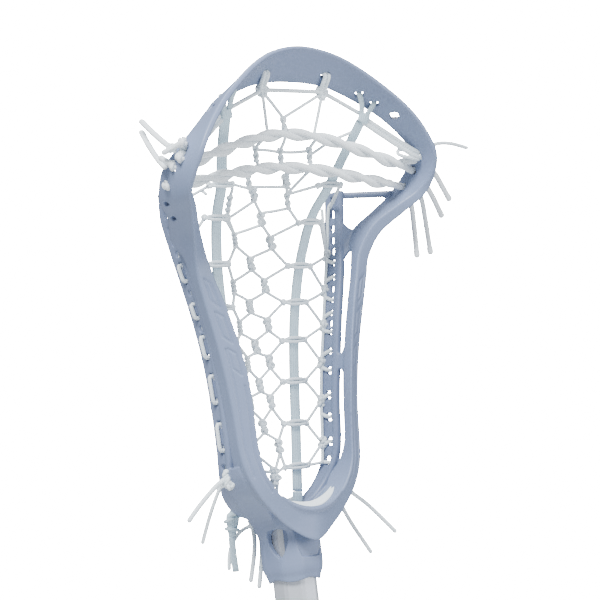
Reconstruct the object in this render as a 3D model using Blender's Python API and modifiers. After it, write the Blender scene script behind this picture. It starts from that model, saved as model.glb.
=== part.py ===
"""A women's lacrosse stick: a moulded head with a strung pocket on a faceted tube.

Lengths are in metres. The stick stands on the flat face of its end cap: the origin is the
centre of that face, +Z runs up the shaft to the head, -Y is the open face of the head and
+Y is the side that the pocket hangs on.
"""
import math

import bmesh
import bpy
from mathutils import Matrix, Vector

MM = 0.001

# Driving dimensions
SHAFT_LENGTH = 0.810
SHAFT_FLATS = 0.0245
SHAFT_WALL = 0.0013
SHAFT_ROUNDING = 0.0014
FIT_GAP = 0.0003

CAP_FLOOR = 0.004
CAP_WALL = 0.0018
CAP_SLEEVE = 0.030
CAP_PLUG = 0.012
CAP_EDGE = 0.0012
CAP_ROUNDING = 0.0017

SOCKET_DEPTH = 0.036
SOCKET_TOP_FLOOR = 0.0006
SOCKET_BORE_START = 0.005
SCREW_HEIGHT = 0.012
SCREW_SEAT_BACK = 0.01605
SCREW_HEAD_RADIUS = 0.0034
SCREW_HEAD_THICKNESS = 0.0022
SCREW_CROWN_RADIUS = 0.0024
SCREW_RIM_THICKNESS = 0.0013
SCREW_SHANK_RADIUS = 0.0019
SCREW_LENGTH = 0.0075
SCREW_POINT = 0.0015
SCREW_SIDES = 20
SCREW_HOLE_MIDDLE = 0.0135
SCREW_HOLE_LENGTH = 0.012

WALL = 0.0034
BACK_RAIL_DEPTH = 0.0135
BACK_RAIL_THICKNESS = 0.0032
STRUT_HEIGHT = 0.0026
STRUT_THICKNESS = 0.0040
WEB_THICKNESS = 0.0028
WEB_DEPTH_SHARE = 0.6
FAIRING_THICKNESS = 0.0030
LACING_HOLE_REACH = 0.016

RUNNER_WIDTH = 0.0078
RUNNER_THICKNESS = 0.0014
NET_THICKNESS = 0.0012
NET_BELLY = 0.0045
SIDE_NET_BELLY = 0.0005
NET_CLEARANCE = 0.0012
LACE_RADIUS = 0.0019
LACE_TWIST_RADIUS = 0.0022
LACE_TURNS = 4
STRING_RADIUS = 0.0013
PAD_THICKNESS = 0.0024
PAD_GAP = 0.0006

# How finely curves are read: steps between given sections, and the spacing of a string's points
RING_STEPS = 3
RAIL_STEPS = 3
RUNNER_STEPS = 3
SOCKET_STEPS = 2
WEB_STEPS = 4
FINE_STEPS = 24
STRING_BEVEL = 2
LACE_POINT_SPACING = 4.2
STRING_POINT_SPACING = 5
TAIL_POINT_SPACING = 2.5

# Height of the head's lower end on the stick
HEAD_BASE = CAP_FLOOR + FIT_GAP + SHAFT_LENGTH - SOCKET_DEPTH
BORE_FLATS = SHAFT_FLATS + 2 * FIT_GAP

# The head's own measures are written in millimetres: x to the side from the middle plane,
# y back from the shaft's axis and z up from the lower end of the socket.

# Scoop, from the tip round to the widest place: front edge (outside) and back edge (inside)
SCOOP = (
    ((0, -57, 295.5), (0, -44.5, 276.5)),
    ((22, -58.5, 292), (23, -45.4, 274.6)),
    ((40, -61, 284), (39.4, -44.9, 270)),
    ((59, -64.5, 271), (55.4, -45.7, 262.8)),
    ((73, -66.5, 259), (65.4, -48.2, 255.8)),
    ((83, -67, 247), (76.4, -49.2, 246.8)),
    ((90, -66, 234), (86.4, -46.8, 237.6)),
    ((92, -60, 222), (90, -35.5, 227.3)),
)

# Side walls down to the chin: outer edge, front ridge, inner back edge, outer back edge
SIDES = (
    ((89.5, -53, 212), (85.5, -51, 215), (85, -24.5, 215.6), (88.5, -24.5, 213.1)),
    ((81, -43.5, 203.5), (76.5, -42.5, 208), (76, -20, 208), (80, -20, 204.5)),
    ((71.5, -31.5, 193.5), (66, -31, 198.5), (67, -10, 197.5), (71, -10, 193.5)),
    ((66.5, -24.5, 181), (58, -25, 184), (60.5, -14.5, 184), (65, -12.5, 182)),
    ((64.5, -22.5, 170), (53.5, -24.6, 170), (56, -16, 170), (61.5, -12, 170)),
    ((60.5, -21.5, 155), (48.3, -25.4, 155), (50.5, -17, 155), (57.5, -11, 155)),
    ((55, -20.5, 135), (42.8, -26, 135), (45, -17, 135), (52, -10, 135)),
    ((50.7, -19.6, 115), (38.6, -26.2, 115), (41, -17, 115), (48, -9, 115)),
    ((47.8, -19, 95), (36.4, -24.8, 95), (39, -16, 95), (45.5, -8.5, 95)),
    ((46.5, -18.8, 77), (35, -23.5, 77), (37.5, -14.5, 77), (44, -8, 77)),
    ((44.2, -19.3, 64), (33.2, -23.7, 65), (36, -10, 66.5), (42, -7, 65)),
    ((38.5, -19.8, 52), (28.5, -23.9, 55), (31.5, -4.5, 58), (37, -4, 55)),
    ((30, -19.7, 41), (20.5, -23.5, 46), (21.5, -9.5, 50), (27, -8, 46)),
    ((16.5, -20, 29), (10.5, -23.8, 40.5), (10.5, -14, 45.5), (13, -8, 39)),
    ((0, -23, 21), (0, -24.2, 38.7), (0, -16, 43.5), (0, -10, 37)),
)

# Back rail from the strut down to the loop behind the ball stop: back edge, and the way forward
BACK_RAIL = (
    ((63.5, 3.5, 222), (0.08, -1, 0)),
    ((62.8, 5, 208), (0.08, -1, 0)),
    ((60.4, 4.8, 196), (0.08, -1, 0)),
    ((58.2, 3.8, 184), (0.08, -1, 0)),
    ((55.5, 3.1, 172), (0.08, -1, 0)),
    ((49.6, 3, 148), (0.08, -1, 0)),
    ((45, 3.6, 124), (0.08, -1, 0)),
    ((41.7, 5.3, 100), (0.1, -1, 0)),
    ((40.2, 6.5, 78), (0.1, -0.99, 0)),
    ((38.5, 9.2, 64), (0.1, -0.98, 0.1)),
    ((34, 14, 53), (0.06, -0.99, 0.1)),
    ((25, 18, 44.5), (0, -1, 0)),
    ((13, 20.5, 39.5), (0, -1, 0)),
    ((0, 21.5, 38), (0, -1, 0)),
)

# Solid webs between the back rail and the side wall: lowest and highest place of each
WEBS = ((187, 199), (118, 126))

# Plates that close the sides below the walls: height, then the front and back of the plate
FAIRING = (
    (66, (43, -14), (40, -2)),
    (60, (41, -14), (38, 8)),
    (52, (35.5, -13), (32.5, 11)),
    (45, (27.5, -13), (26, 12.5)),
    (36, (18.8, -9.5), (18.8, 10)),
    (26, (15.2, -7), (15.2, 7)),
)

# Bar from the scoop's wall back to the top of the back rail
STRUT = ((86, -27.5, 216.8), (64.2, 0.5, 220.4))

# Socket: height, half width to the side, front, back and corner cut
SOCKET = (
    (0, 13.7, -13.7, 13.7, 7.7),
    (3, 14.2, -14.2, 14.4, 7.8),
    (9, 16.0, -16.0, 16.0, 8.0),
    (26, 16.2, -16.4, 16.0, 8.0),
    (33, 18.0, -18.5, 18.0, 8.5),
    (39, 19.0, -19.5, 21.0, 9.0),
    (41.5, 15.0, -16.0, 19.0, 8.0),
)
WINDOW = ((9, -9, 13.5), (22, 2, 28))
RECESS = ((-7, -18, 9.5), (7, -14.4, 23))

# Lacing holes through the scoop and walls: centre, direction and width by height
LACING_HOLES = (
    ((23.1, -49.8, 281.9), (0.3, 0.6, 0.75), (4, 3)),
    ((48.9, -49.6, 272.2), (0.5, 0.5, 0.7), (4, 3)),
    ((59, -50.6, 267.2), (0.5, 0.5, 0.7), (4, 3)),
    ((66, -58.3, 260.5), (0.6, 0.4, 0.6), (4.5, 3.5)),
    ((89, -51, 236), (0.9, 0.2, 0.3), (3.5, 6)),
    ((92, -45, 227.3), (1, 0, 0), (3.5, 3.5)),
    ((91, -36.5, 219), (1, 0.1, -0.1), (3.5, 3.5)),
    ((85.5, -29.5, 211.5), (0.8, 0.2, -0.5), (3, 2)),
    ((77.5, -25, 204.5), (0.8, 0.2, -0.5), (3, 2)),
)

# Right-hand runner, from the scoop to the loop behind the ball stop
RUNNER = (
    (51.5, -45.5, 255.5),
    (46, -33, 237),
    (41, -24, 222),
    (36, -11, 205),
    (31.6, -2, 181),
    (28.2, 2.5, 158),
    (26, 5.2, 136),
    (24.3, 7, 113),
    (22.3, 8, 89),
    (20, 8.8, 65),
    (18.5, 9.2, 51),
)

# Heights of the mesh: lower and upper ends of the middle field and of the two side fields
NET_SPAN = (56, 216)
SIDE_NET_SPAN = (63, 199)

# Ball stop: half its length in ring steps, and its front and back as shares of the shelf's depth
PAD_REACH = 7
PAD_MIDDLE = 0.62
PAD_FRONT_SWELL = 0.44
PAD_BACK_SWELL = 0.30
PAD_END_THICKNESS = 0.35

# Right half of each string across the head, from the wall to the middle
UPPER_SHOOTING = ((84.0, -45, 228.6), (55, -44, 237.5), (24, -42, 245.5), (0, -41, 248))
LOWER_SHOOTING = ((82, -36.5, 219.8), (50, -36, 225), (22, -35.5, 229), (0, -35, 230))
TOP_STRING = ((76.5, -47.5, 243.5), (65, -48, 251), (50, -46.5, 260), (22, -45.5, 270.5), (0, -45.3, 271.5))
BOTTOM_STRING = ((22, 11.5, 48.5), (12, 13.5, 46), (0, 14.2, 45))

# Right-hand string down the inside of the back rail
SIDE_STRING = (
    (57.8, 1.2, 200),
    (55.0, 1.0, 185),
    (50.4, 1.2, 165),
    (45.4, 1.0, 144),
    (41.5, 1.9, 123),
    (38.5, 2.8, 101),
    (36.8, 4.1, 77),
)

# Loose ends: name, diameter and route in the head's millimetres
TAILS = (
    ("tail_top_string_right", 2.4,
     ((96.5, -49, 237.5), (104, -48, 241.5), (113, -46.5, 243.5), (124, -45.5, 243.5), (137, -44.5, 241.5))),
    ("tail_upper_shooting_right_a", 3.6,
     ((97, -46.5, 228.2), (103, -45.5, 228), (109, -44, 224.5), (115, -42, 218.5), (121, -40.5, 211.5))),
    ("tail_upper_shooting_right_b", 3.6,
     ((96.2, -42, 225.8), (100.5, -40.5, 224), (105, -39.5, 218.5), (110, -39, 211), (115, -38.4, 202))),
    ("tail_lower_shooting_right_a", 3.6,
     ((95.6, -36.8, 219.5), (101, -34.5, 219), (106.3, -32.5, 212), (108, -31.8, 198), (109.5, -31, 181.5))),
    ("tail_lower_shooting_right_b", 3.6,
     ((94.6, -33, 216.3), (98, -30.8, 214), (99.8, -30, 207), (99.8, -29.8, 194), (99.6, -29.5, 180))),
    ("tail_upper_shooting_left_a", 3.6,
     ((-95.6, -50.5, 236.5), (-96.5, -45, 241), (-96.5, -39, 246), (-95.8, -33, 250.8), (-94.8, -26.5, 256.2))),
    ("tail_upper_shooting_left_b", 3.6,
     ((-96.5, -42.5, 228.5), (-96, -37, 234), (-94.8, -31.5, 240), (-93, -26, 245.8), (-90.9, -20.8, 251.4))),
    ("tail_side_string_right_a", 2.6,
     ((43.5, -2, 52), (50, -3.5, 46), (58, -5, 39.5), (66, -6.5, 31.5), (75, -8, 22))),
    ("tail_side_string_right_b", 2.6,
     ((40.5, 1, 47), (44, 0, 38), (47.5, -1.5, 29.5), (52, -3, 21), (57.5, -4, 12))),
    ("tail_side_string_left_a", 2.9,
     ((-45.5, -2, 60.5), (-50, -1, 58), (-57, 0.2, 52.5), (-64, 1.2, 46.5), (-70.5, 1.6, 40.5))),
    ("tail_side_string_left_b", 2.4,
     ((-44.5, 3, 57), (-46.5, 5.5, 51), (-49.5, 7.5, 43.5), (-53, 8.6, 35.5), (-56.5, 9, 28))),
    ("tail_runner", 5.0,
     ((-17.5, 24, 41.5), (-17.6, 27.2, 38.2), (-18, 28.4, 31), (-18.6, 28.2, 21), (-18.5, 27.8, 9.5))),
    ("tail_bottom_string_a", 2.4,
     ((-1.5, 25.5, 36), (-5, 27, 34.5), (-10, 29.5, 32), (-14.5, 31.5, 27), (-17.5, 32.8, 20), (-18.5, 33.4, 12))),
    ("tail_bottom_string_b", 2.8,
     ((-5.4, 24.5, 34.5), (-6, 23, 28), (-8.5, 21.5, 20), (-11.8, 20.5, 12), (-15, 20, 4))),
    ("tail_bottom_string_c", 2.8,
     ((-1.6, 24.5, 31), (-2, 22.2, 26), (-4.2, 20.2, 18.5), (-7, 19.4, 10), (-10, 19.2, 0))),
)


def head_point(point):
    """A place given in the head's millimetres, in the stick's metres."""
    return Vector((point[0] * MM, point[1] * MM, HEAD_BASE + point[2] * MM))


def mirrored(point):
    return (-point[0],) + tuple(point[1:])


def catmull_rom(p0, p1, p2, p3, t):
    """The place at t between p1 and p2 on a smooth curve through four points."""
    a = 2 * p1
    b = p2 - p0
    c = 2 * p0 - 5 * p1 + 4 * p2 - p3
    d = 3 * p1 - p0 - 3 * p2 + p3
    return 0.5 * (a + b * t + c * t * t + d * t ** 3)


def smooth_sections(sections, steps, cyclic=False):
    """Sections read between the given ones, each a list of Vectors of one length."""
    count = len(sections)
    spans = count if cyclic else count - 1
    result = []
    for span in range(spans):
        if cyclic:
            picks = [sections[(span + k) % count] for k in (-1, 0, 1, 2)]
        else:
            picks = [sections[min(max(span + k, 0), count - 1)] for k in (-1, 0, 1, 2)]
        for step in range(steps):
            t = step / steps
            result.append([catmull_rom(*corners, t) for corners in zip(*picks)])
    if not cyclic:
        result.append(list(sections[-1]))
    return result


def stepped_route(points, steps):
    """Points along a smooth curve through the route, so many to each stretch."""
    return [section[0] for section in smooth_sections([[Vector(p)] for p in points], steps)]


def spaced_route(points, spacing):
    """Points an even distance apart along a smooth curve through the route."""
    fine = stepped_route(points, FINE_STEPS)
    lengths = [0.0]
    for first, second in zip(fine, fine[1:]):
        lengths.append(lengths[-1] + (second - first).length)
    count = max(2, round(lengths[-1] / spacing))
    route = []
    place = 0
    for step in range(count + 1):
        wanted = lengths[-1] * step / count
        while place < len(fine) - 2 and lengths[place + 1] < wanted:
            place += 1
        share = (wanted - lengths[place]) / (lengths[place + 1] - lengths[place])
        route.append(fine[place].lerp(fine[place + 1], share))
    return route


def material(name, colour, roughness, metallic=0.0):
    made = bpy.data.materials.new(name)
    made.use_nodes = True
    shader = made.node_tree.nodes["Principled BSDF"]
    shader.inputs["Base Color"].default_value = (*colour, 1.0)
    shader.inputs["Roughness"].default_value = roughness
    shader.inputs["Metallic"].default_value = metallic
    return made


def add_object(name, mesh, group, surface=None):
    made = bpy.data.objects.new(name, mesh)
    group.objects.link(made)
    if surface:
        mesh.materials.append(surface)
    return made


def mesh_from(name, points, faces):
    """A mesh of these faces, all turned to point out."""
    shape = bmesh.new()
    corners = [shape.verts.new(p) for p in points]
    for face in faces:
        shape.faces.new([corners[i] for i in face])
    bmesh.ops.recalc_face_normals(shape, faces=shape.faces)
    bmesh.ops.triangulate(shape, faces=shape.faces)
    mesh = bpy.data.meshes.new(name)
    shape.to_mesh(mesh)
    shape.free()
    return mesh


def loft(name, sections, closed_path=False):
    """A closed skin over a row of sections, or over a ring of them."""
    size = len(sections[0])
    count = len(sections)
    points = [p for section in sections for p in section]
    faces = []
    for row in range(count if closed_path else count - 1):
        for side in range(size):
            a = row * size + side
            b = row * size + (side + 1) % size
            c = ((row + 1) % count) * size + (side + 1) % size
            d = ((row + 1) % count) * size + side
            faces.append((a, b, c, d))
    if not closed_path:
        faces.append(tuple(range(size)))
        faces.append(tuple((count - 1) * size + k for k in reversed(range(size))))
    return mesh_from(name, points, faces)


def box_mesh(name, low, high):
    """A box between two corners given in the head's millimetres."""
    shape = bmesh.new()
    bmesh.ops.create_cube(shape, size=1.0)
    first, second = head_point(low), head_point(high)
    for corner in shape.verts:
        corner.co = Vector([a + (b - a) * (k + 0.5) for a, b, k in zip(first, second, corner.co)])
    mesh = bpy.data.meshes.new(name)
    shape.to_mesh(mesh)
    shape.free()
    return mesh


def slot_mesh(name, centre, direction, size):
    """A straight cutter of this width and height along a direction."""
    shape = bmesh.new()
    turn = Vector(direction).to_track_quat("Z", "Y").to_matrix().to_4x4()
    place = Matrix.Translation(head_point(centre)) @ turn
    scale = Matrix.Diagonal((size[0] * MM, size[1] * MM, LACING_HOLE_REACH, 1.0))
    bmesh.ops.create_cube(shape, size=1.0, matrix=place @ scale)
    mesh = bpy.data.meshes.new(name)
    shape.to_mesh(mesh)
    shape.free()
    return mesh


def boolean(target, cutter, operation):
    change = target.modifiers.new(cutter.name, "BOOLEAN")
    change.operation = operation
    change.object = cutter
    cutter.hide_render = True
    cutter.display_type = "WIRE"


def octagon(flats, rounding, height):
    """The corners of an octagon tube section, each corner taken off by a short flat."""
    half = flats / 2
    side = half * math.tan(math.pi / 8)
    points = []
    for face in range(8):
        angle = face * math.pi / 4
        along = Vector((-math.sin(angle), math.cos(angle), 0))
        middle = Vector((math.cos(angle), math.sin(angle), 0)) * half
        for sign in (-1, 1):
            points.append(middle + along * sign * (side - rounding) + Vector((0, 0, height)))
    return points


def shaft(group, cutters, surface):
    """The hollow faceted tube, with its hole for the head screw."""
    bottom = CAP_FLOOR + FIT_GAP
    top = bottom + SHAFT_LENGTH
    inner = SHAFT_FLATS - 2 * SHAFT_WALL
    inner_rounding = SHAFT_ROUNDING * inner / SHAFT_FLATS
    sections = [
        octagon(SHAFT_FLATS, SHAFT_ROUNDING, bottom),
        octagon(SHAFT_FLATS, SHAFT_ROUNDING, top),
        octagon(inner, inner_rounding, top),
        octagon(inner, inner_rounding, bottom),
    ]
    tube = add_object("shaft", loft("shaft", sections, closed_path=True), group, surface)
    boolean(tube, screw_hole(cutters, "shaft_screw_hole"), "DIFFERENCE")


def screw_hole(cutters, name):
    """A round cutter on the head screw's axis, at the back of the socket."""
    shape = bmesh.new()
    radius = SCREW_SHANK_RADIUS + FIT_GAP
    middle = Matrix.Translation((0, SCREW_HOLE_MIDDLE, HEAD_BASE + SCREW_HEIGHT))
    bmesh.ops.create_cone(
        shape, cap_ends=True, segments=SCREW_SIDES, radius1=radius, radius2=radius,
        depth=SCREW_HOLE_LENGTH, matrix=middle @ Matrix.Rotation(math.pi / 2, 4, "X"))
    mesh = bpy.data.meshes.new(name)
    shape.to_mesh(mesh)
    shape.free()
    return add_object(name, mesh, cutters)


def end_cap(group, surface):
    """The rubber cup on the butt of the tube, with the plug that holds it inside."""
    outer = SHAFT_FLATS + 2 * (FIT_GAP + CAP_WALL)
    inside = SHAFT_FLATS + 2 * FIT_GAP
    plug = SHAFT_FLATS - 2 * (SHAFT_WALL + FIT_GAP)
    top = CAP_FLOOR + CAP_SLEEVE
    plug_top = CAP_FLOOR + CAP_PLUG
    sections = [
        octagon(outer - 2 * CAP_EDGE, SHAFT_ROUNDING, 0.0),
        octagon(outer, CAP_ROUNDING, CAP_EDGE),
        octagon(outer, CAP_ROUNDING, top - CAP_EDGE),
        octagon(outer - CAP_EDGE, CAP_ROUNDING, top),
        octagon(inside, SHAFT_ROUNDING, top),
        octagon(inside, SHAFT_ROUNDING, CAP_FLOOR),
        octagon(plug, SHAFT_ROUNDING, CAP_FLOOR),
        octagon(plug, SHAFT_ROUNDING, plug_top - CAP_EDGE),
        octagon(plug - 2 * CAP_EDGE, SHAFT_ROUNDING, plug_top),
    ]
    add_object("end_cap", loft("end_cap", sections), group, surface)


def head_screw(group, surface):
    """The pan-head screw, a turned profile, laid along the depth of the stick."""
    profile = (
        (0.0, SCREW_HEAD_THICKNESS),
        (SCREW_CROWN_RADIUS, SCREW_HEAD_THICKNESS),
        (SCREW_HEAD_RADIUS, SCREW_RIM_THICKNESS),
        (SCREW_HEAD_RADIUS, 0.0),
        (SCREW_SHANK_RADIUS, 0.0),
        (SCREW_SHANK_RADIUS, SCREW_POINT - SCREW_LENGTH),
        (0.0, -SCREW_LENGTH),
    )
    mesh = bpy.data.meshes.new("head_screw")
    edges = [(k, k + 1) for k in range(len(profile) - 1)]
    mesh.from_pydata([(x, 0, z) for x, z in profile], edges, [])
    screw = add_object("head_screw", mesh, group, surface)
    turn = screw.modifiers.new("turned", "SCREW")
    turn.steps = SCREW_SIDES
    turn.render_steps = SCREW_SIDES
    turn.use_merge_vertices = True
    turn.merge_threshold = 0.00005
    screw.rotation_euler = (-math.pi / 2, 0, 0)
    screw.location = (0, SCREW_SEAT_BACK + FIT_GAP, HEAD_BASE + SCREW_HEIGHT)


def ring_sections():
    """Corner sections all the way round the front of the head, in millimetres."""
    half = []
    rows = [(Vector(front), Vector(back)) for front, back in SCOOP]
    fronts = [front for front, back in rows] + [Vector(SIDES[0][0])]
    for place, (front, back) in enumerate(rows):
        if place == 0:
            tangent = Vector((1, 0, 0))
        else:
            tangent = (fronts[place + 1] - fronts[place - 1]).normalized()
        outward = tangent.cross(back - front).normalized()
        wall = outward * (WALL / MM)
        half.append([front, front - wall, back, back + wall])
    half += [[Vector(p) for p in station] for station in SIDES]
    other = [[Vector(mirrored(p)) for p in section] for section in half[1:-1]]
    return half + other[::-1]


def smooth_ring():
    return smooth_sections(ring_sections(), RING_STEPS, cyclic=True)


def to_stick(sections):
    return [[head_point(p) for p in section] for section in sections]


def rail_sections():
    """Sections of the two back rails and the loop that joins them, in millimetres."""
    half = [[Vector(edge), Vector(forward)] for edge, forward in BACK_RAIL]
    other = [[Vector(mirrored(edge)), Vector(mirrored(forward))] for edge, forward in half[:-1]]
    rows = smooth_sections(half + other[::-1], RAIL_STEPS)
    sections = []
    for place, (edge, forward) in enumerate(rows):
        before = rows[max(place - 1, 0)][0]
        later = rows[min(place + 1, len(rows) - 1)][0]
        forward = forward.normalized()
        side = (later - before).cross(forward).normalized() * (BACK_RAIL_THICKNESS / MM / 2)
        front = edge + forward * (BACK_RAIL_DEPTH / MM)
        sections.append([edge - side, edge + side, front + side, front - side])
    return sections


def rail_at(height):
    """Back edge and way forward of the right-hand back rail at a height."""
    rows = smooth_sections([[Vector(edge), Vector(forward)] for edge, forward in BACK_RAIL], FINE_STEPS)
    return min(rows, key=lambda row: abs(row[0].z - height))


def side_at(height):
    """The right-hand side wall's corner section nearest to a height."""
    rows = smooth_sections([[Vector(p) for p in station] for station in SIDES], FINE_STEPS)
    return min(rows, key=lambda row: abs((row[2].z + row[3].z) / 2 - height))


def web_sections(low, high, sign):
    """A plate between the back rail and the side wall."""
    sections = []
    for step in range(WEB_STEPS + 1):
        height = low + (high - low) * step / WEB_STEPS
        edge, forward = rail_at(height)
        wall = side_at(height)
        wall_front = (wall[0] + wall[1]) / 2
        wall_back = (wall[2] + wall[3]) / 2
        near = edge + forward.normalized() * (BACK_RAIL_DEPTH / MM * WEB_DEPTH_SHARE)
        far = wall_back.lerp(wall_front, 0.25)
        across = (far - near).cross(Vector((0, 0, 1))).normalized() * (WEB_THICKNESS / MM / 2)
        corners = [near - across, near + across, far + across, far - across]
        for corner in corners:
            corner.z = height
        sections.append([Vector((sign * c.x, c.y, c.z)) for c in corners])
    return sections


def fairing_sections(sign):
    """The plate that closes one side of the head between its wall, back rail and socket."""
    half = FAIRING_THICKNESS / MM / 2
    sections = []
    for height, front, back in FAIRING:
        corners = [
            (front[0] - half, front[1], height),
            (front[0] + half, front[1], height),
            (back[0] + half, back[1], height),
            (back[0] - half, back[1], height),
        ]
        sections.append([Vector((sign * x, y, z)) for x, y, z in corners])
    return sections


def side_box(name, corners, sign):
    """A box cutter on one side, given by its corners on the right."""
    first = (sign * corners[0][0], *corners[0][1:])
    second = (sign * corners[1][0], *corners[1][1:])
    return box_mesh(name, *[tuple(f(a, b) for a, b in zip(first, second)) for f in (min, max)])


def strut_sections(sign):
    """The bar from the scoop's wall back to the top of the back rail."""
    ends = [Vector(end) for end in STRUT]
    along = (ends[1] - ends[0]).normalized()
    across = along.cross(Vector((0, 0, 1))).normalized() * (STRUT_THICKNESS / MM / 2)
    up = across.cross(along).normalized() * (STRUT_HEIGHT / MM / 2)
    sections = []
    for end in ends:
        corners = [end - across - up, end + across - up, end + across + up, end - across + up]
        sections.append([Vector((sign * c.x, c.y, c.z)) for c in corners])
    return sections


def socket_section(height, side, front, back, cut):
    """One eight-cornered section of the socket."""
    return [
        Vector((side, back - cut, height)),
        Vector((side - cut, back, height)),
        Vector((cut - side, back, height)),
        Vector((-side, back - cut, height)),
        Vector((-side, front + cut, height)),
        Vector((cut - side, front, height)),
        Vector((side - cut, front, height)),
        Vector((side, front + cut, height)),
    ]


def head_frame(group, cutters, surface):
    """The moulded head: front ring, back rails and loop, webs, struts and socket in one body."""
    skin = loft("head_frame", to_stick(smooth_ring()), closed_path=True)
    ring = add_object("head_frame", skin, group, surface)
    adds = [("back_rails", rail_sections())]
    adds.append(("socket_body", smooth_sections([socket_section(*row) for row in SOCKET], SOCKET_STEPS)))
    for name, sign in (("right", 1), ("left", -1)):
        adds.append(("strut_" + name, strut_sections(sign)))
        adds.append(("fairing_" + name, fairing_sections(sign)))
        for number, (low, high) in enumerate(WEBS):
            adds.append(("web_%s_%d" % (name, number), web_sections(low, high, sign)))
    for name, sections in adds:
        boolean(ring, add_object(name, loft(name, to_stick(sections)), cutters), "UNION")
    boolean(ring, socket_bore(cutters), "DIFFERENCE")
    cuts = [("recess", box_mesh("recess", *RECESS))]
    for name, sign in (("right", 1), ("left", -1)):
        cuts.append(("window_" + name, side_box("window_" + name, WINDOW, sign)))
        for number, (centre, direction, size) in enumerate(LACING_HOLES):
            hole = "lacing_hole_%s_%d" % (name, number)
            place = centre if sign > 0 else mirrored(centre)
            way = direction if sign > 0 else mirrored(direction)
            cuts.append((hole, slot_mesh(hole, place, way, size)))
    for name, mesh in cuts:
        boolean(ring, add_object(name, mesh, cutters), "DIFFERENCE")
    boolean(ring, screw_hole(cutters, "socket_screw_hole"), "DIFFERENCE")


def socket_bore(cutters):
    """The cutter for the shaft's end in the socket."""
    low = HEAD_BASE - SOCKET_BORE_START
    high = HEAD_BASE + SOCKET_DEPTH + SOCKET_TOP_FLOOR
    sections = [octagon(BORE_FLATS, SHAFT_ROUNDING, low), octagon(BORE_FLATS, SHAFT_ROUNDING, high)]
    return add_object("socket_bore", loft("socket_bore", sections), cutters)


def ball_stop(group, surface):
    """The crescent of foam on the shelf of the throat."""
    ring = smooth_ring()
    middle = (len(SCOOP) + len(SIDES) - 1) * RING_STEPS
    sections = []
    for offset in range(-PAD_REACH, PAD_REACH + 1):
        outer, ridge, inner, back = ring[middle + offset]
        before = ring[middle + offset - 1]
        later = ring[middle + offset + 1]
        tangent = (later[1] - before[1]).normalized()
        across = inner - ridge
        up = tangent.cross(across).normalized()
        if up.z < 0:
            up = -up
        taper = math.sqrt(1 - abs(offset) / (PAD_REACH + 0.6))
        near = ridge + across * (PAD_MIDDLE - PAD_FRONT_SWELL * taper)
        far = ridge + across * (PAD_MIDDLE + PAD_BACK_SWELL * taper)
        thickness = PAD_THICKNESS * (PAD_END_THICKNESS + (1 - PAD_END_THICKNESS) * taper)
        low = up * (PAD_GAP / MM)
        high = up * ((PAD_GAP + thickness) / MM)
        sections.append([near + low, far + low, far + high, near + high])
    add_object("ball_stop", loft("ball_stop", to_stick(sections)), group, surface)


def strap_sections(points, width, thickness, sign):
    """Sections of a flat strap along a route, flat side to the pocket."""
    sections = []
    for place, point in enumerate(points):
        before = points[max(place - 1, 0)]
        later = points[min(place + 1, len(points) - 1)]
        along = (later - before).normalized()
        across = (Vector((1, 0, 0)) - along * along.x).normalized()
        through = along.cross(across).normalized()
        across *= width / MM / 2
        through *= thickness / MM / 2
        corners = [
            point - across - through,
            point + across - through,
            point + across + through,
            point - across + through,
        ]
        sections.append([Vector((sign * c.x, c.y, c.z)) for c in corners])
    return sections


def runners(group, surface):
    """The two flat straps down the pocket, beside the channel for the ball."""
    route = stepped_route(RUNNER, RUNNER_STEPS)
    for name, sign in (("right_runner", 1), ("left_runner", -1)):
        sections = strap_sections(route, RUNNER_WIDTH, RUNNER_THICKNESS, sign)
        add_object(name, loft(name, to_stick(sections)), group, surface)


def route_at(route, height):
    """The place on a falling route at a height."""
    for first, second in zip(route, route[1:]):
        if second.z <= height <= first.z:
            share = (first.z - height) / (first.z - second.z)
            return first.lerp(second, share)
    return route[0] if height > route[0].z else route[-1]


def net_panel(name, group, surface, edges, belly, span, columns=6, rows=14):
    """A thin curved sheet where the mesh is laced, between two edges."""
    points = []
    faces = []
    for row in range(rows + 1):
        height = span[1] + (span[0] - span[1]) * row / rows
        left, right = edges(height)
        for column in range(columns + 1):
            share = column / columns
            place = left.lerp(right, share)
            place.y += belly * 4 * share * (1 - share)
            points.append(head_point((place.x, place.y, height)))
    for row in range(rows):
        for column in range(columns):
            a = row * (columns + 1) + column
            faces.append((a, a + 1, a + columns + 2, a + columns + 1))
    panel = add_object(name, mesh_from(name, points, faces), group, surface)
    shell = panel.modifiers.new("thickness", "SOLIDIFY")
    shell.thickness = NET_THICKNESS
    shell.offset = 0.0


def net(group, surface):
    """The mesh field between the runners and the two fields beside them."""
    runner = stepped_route(RUNNER, FINE_STEPS)
    string = stepped_route(SIDE_STRING, FINE_STEPS)
    beside = (RUNNER_WIDTH / 2 + NET_CLEARANCE) / MM
    beside_string = (STRING_RADIUS + NET_CLEARANCE) / MM

    def middle_edges(height):
        place = route_at(runner, height)
        left = Vector((beside - place.x, place.y, height))
        right = Vector((place.x - beside, place.y, height))
        return left, right

    def side_edges(sign):
        def edges(height):
            inner = route_at(runner, height)
            outer = route_at(string, height)
            first = Vector((sign * (inner.x + beside), inner.y, height))
            second = Vector((sign * (outer.x - beside_string), outer.y, height))
            return first, second
        return edges

    net_panel("net_middle", group, surface, middle_edges, NET_BELLY / MM, NET_SPAN)
    for name, sign in (("net_right", 1), ("net_left", -1)):
        net_panel(name, group, surface, side_edges(sign), SIDE_NET_BELLY / MM, SIDE_NET_SPAN, columns=3)


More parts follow.
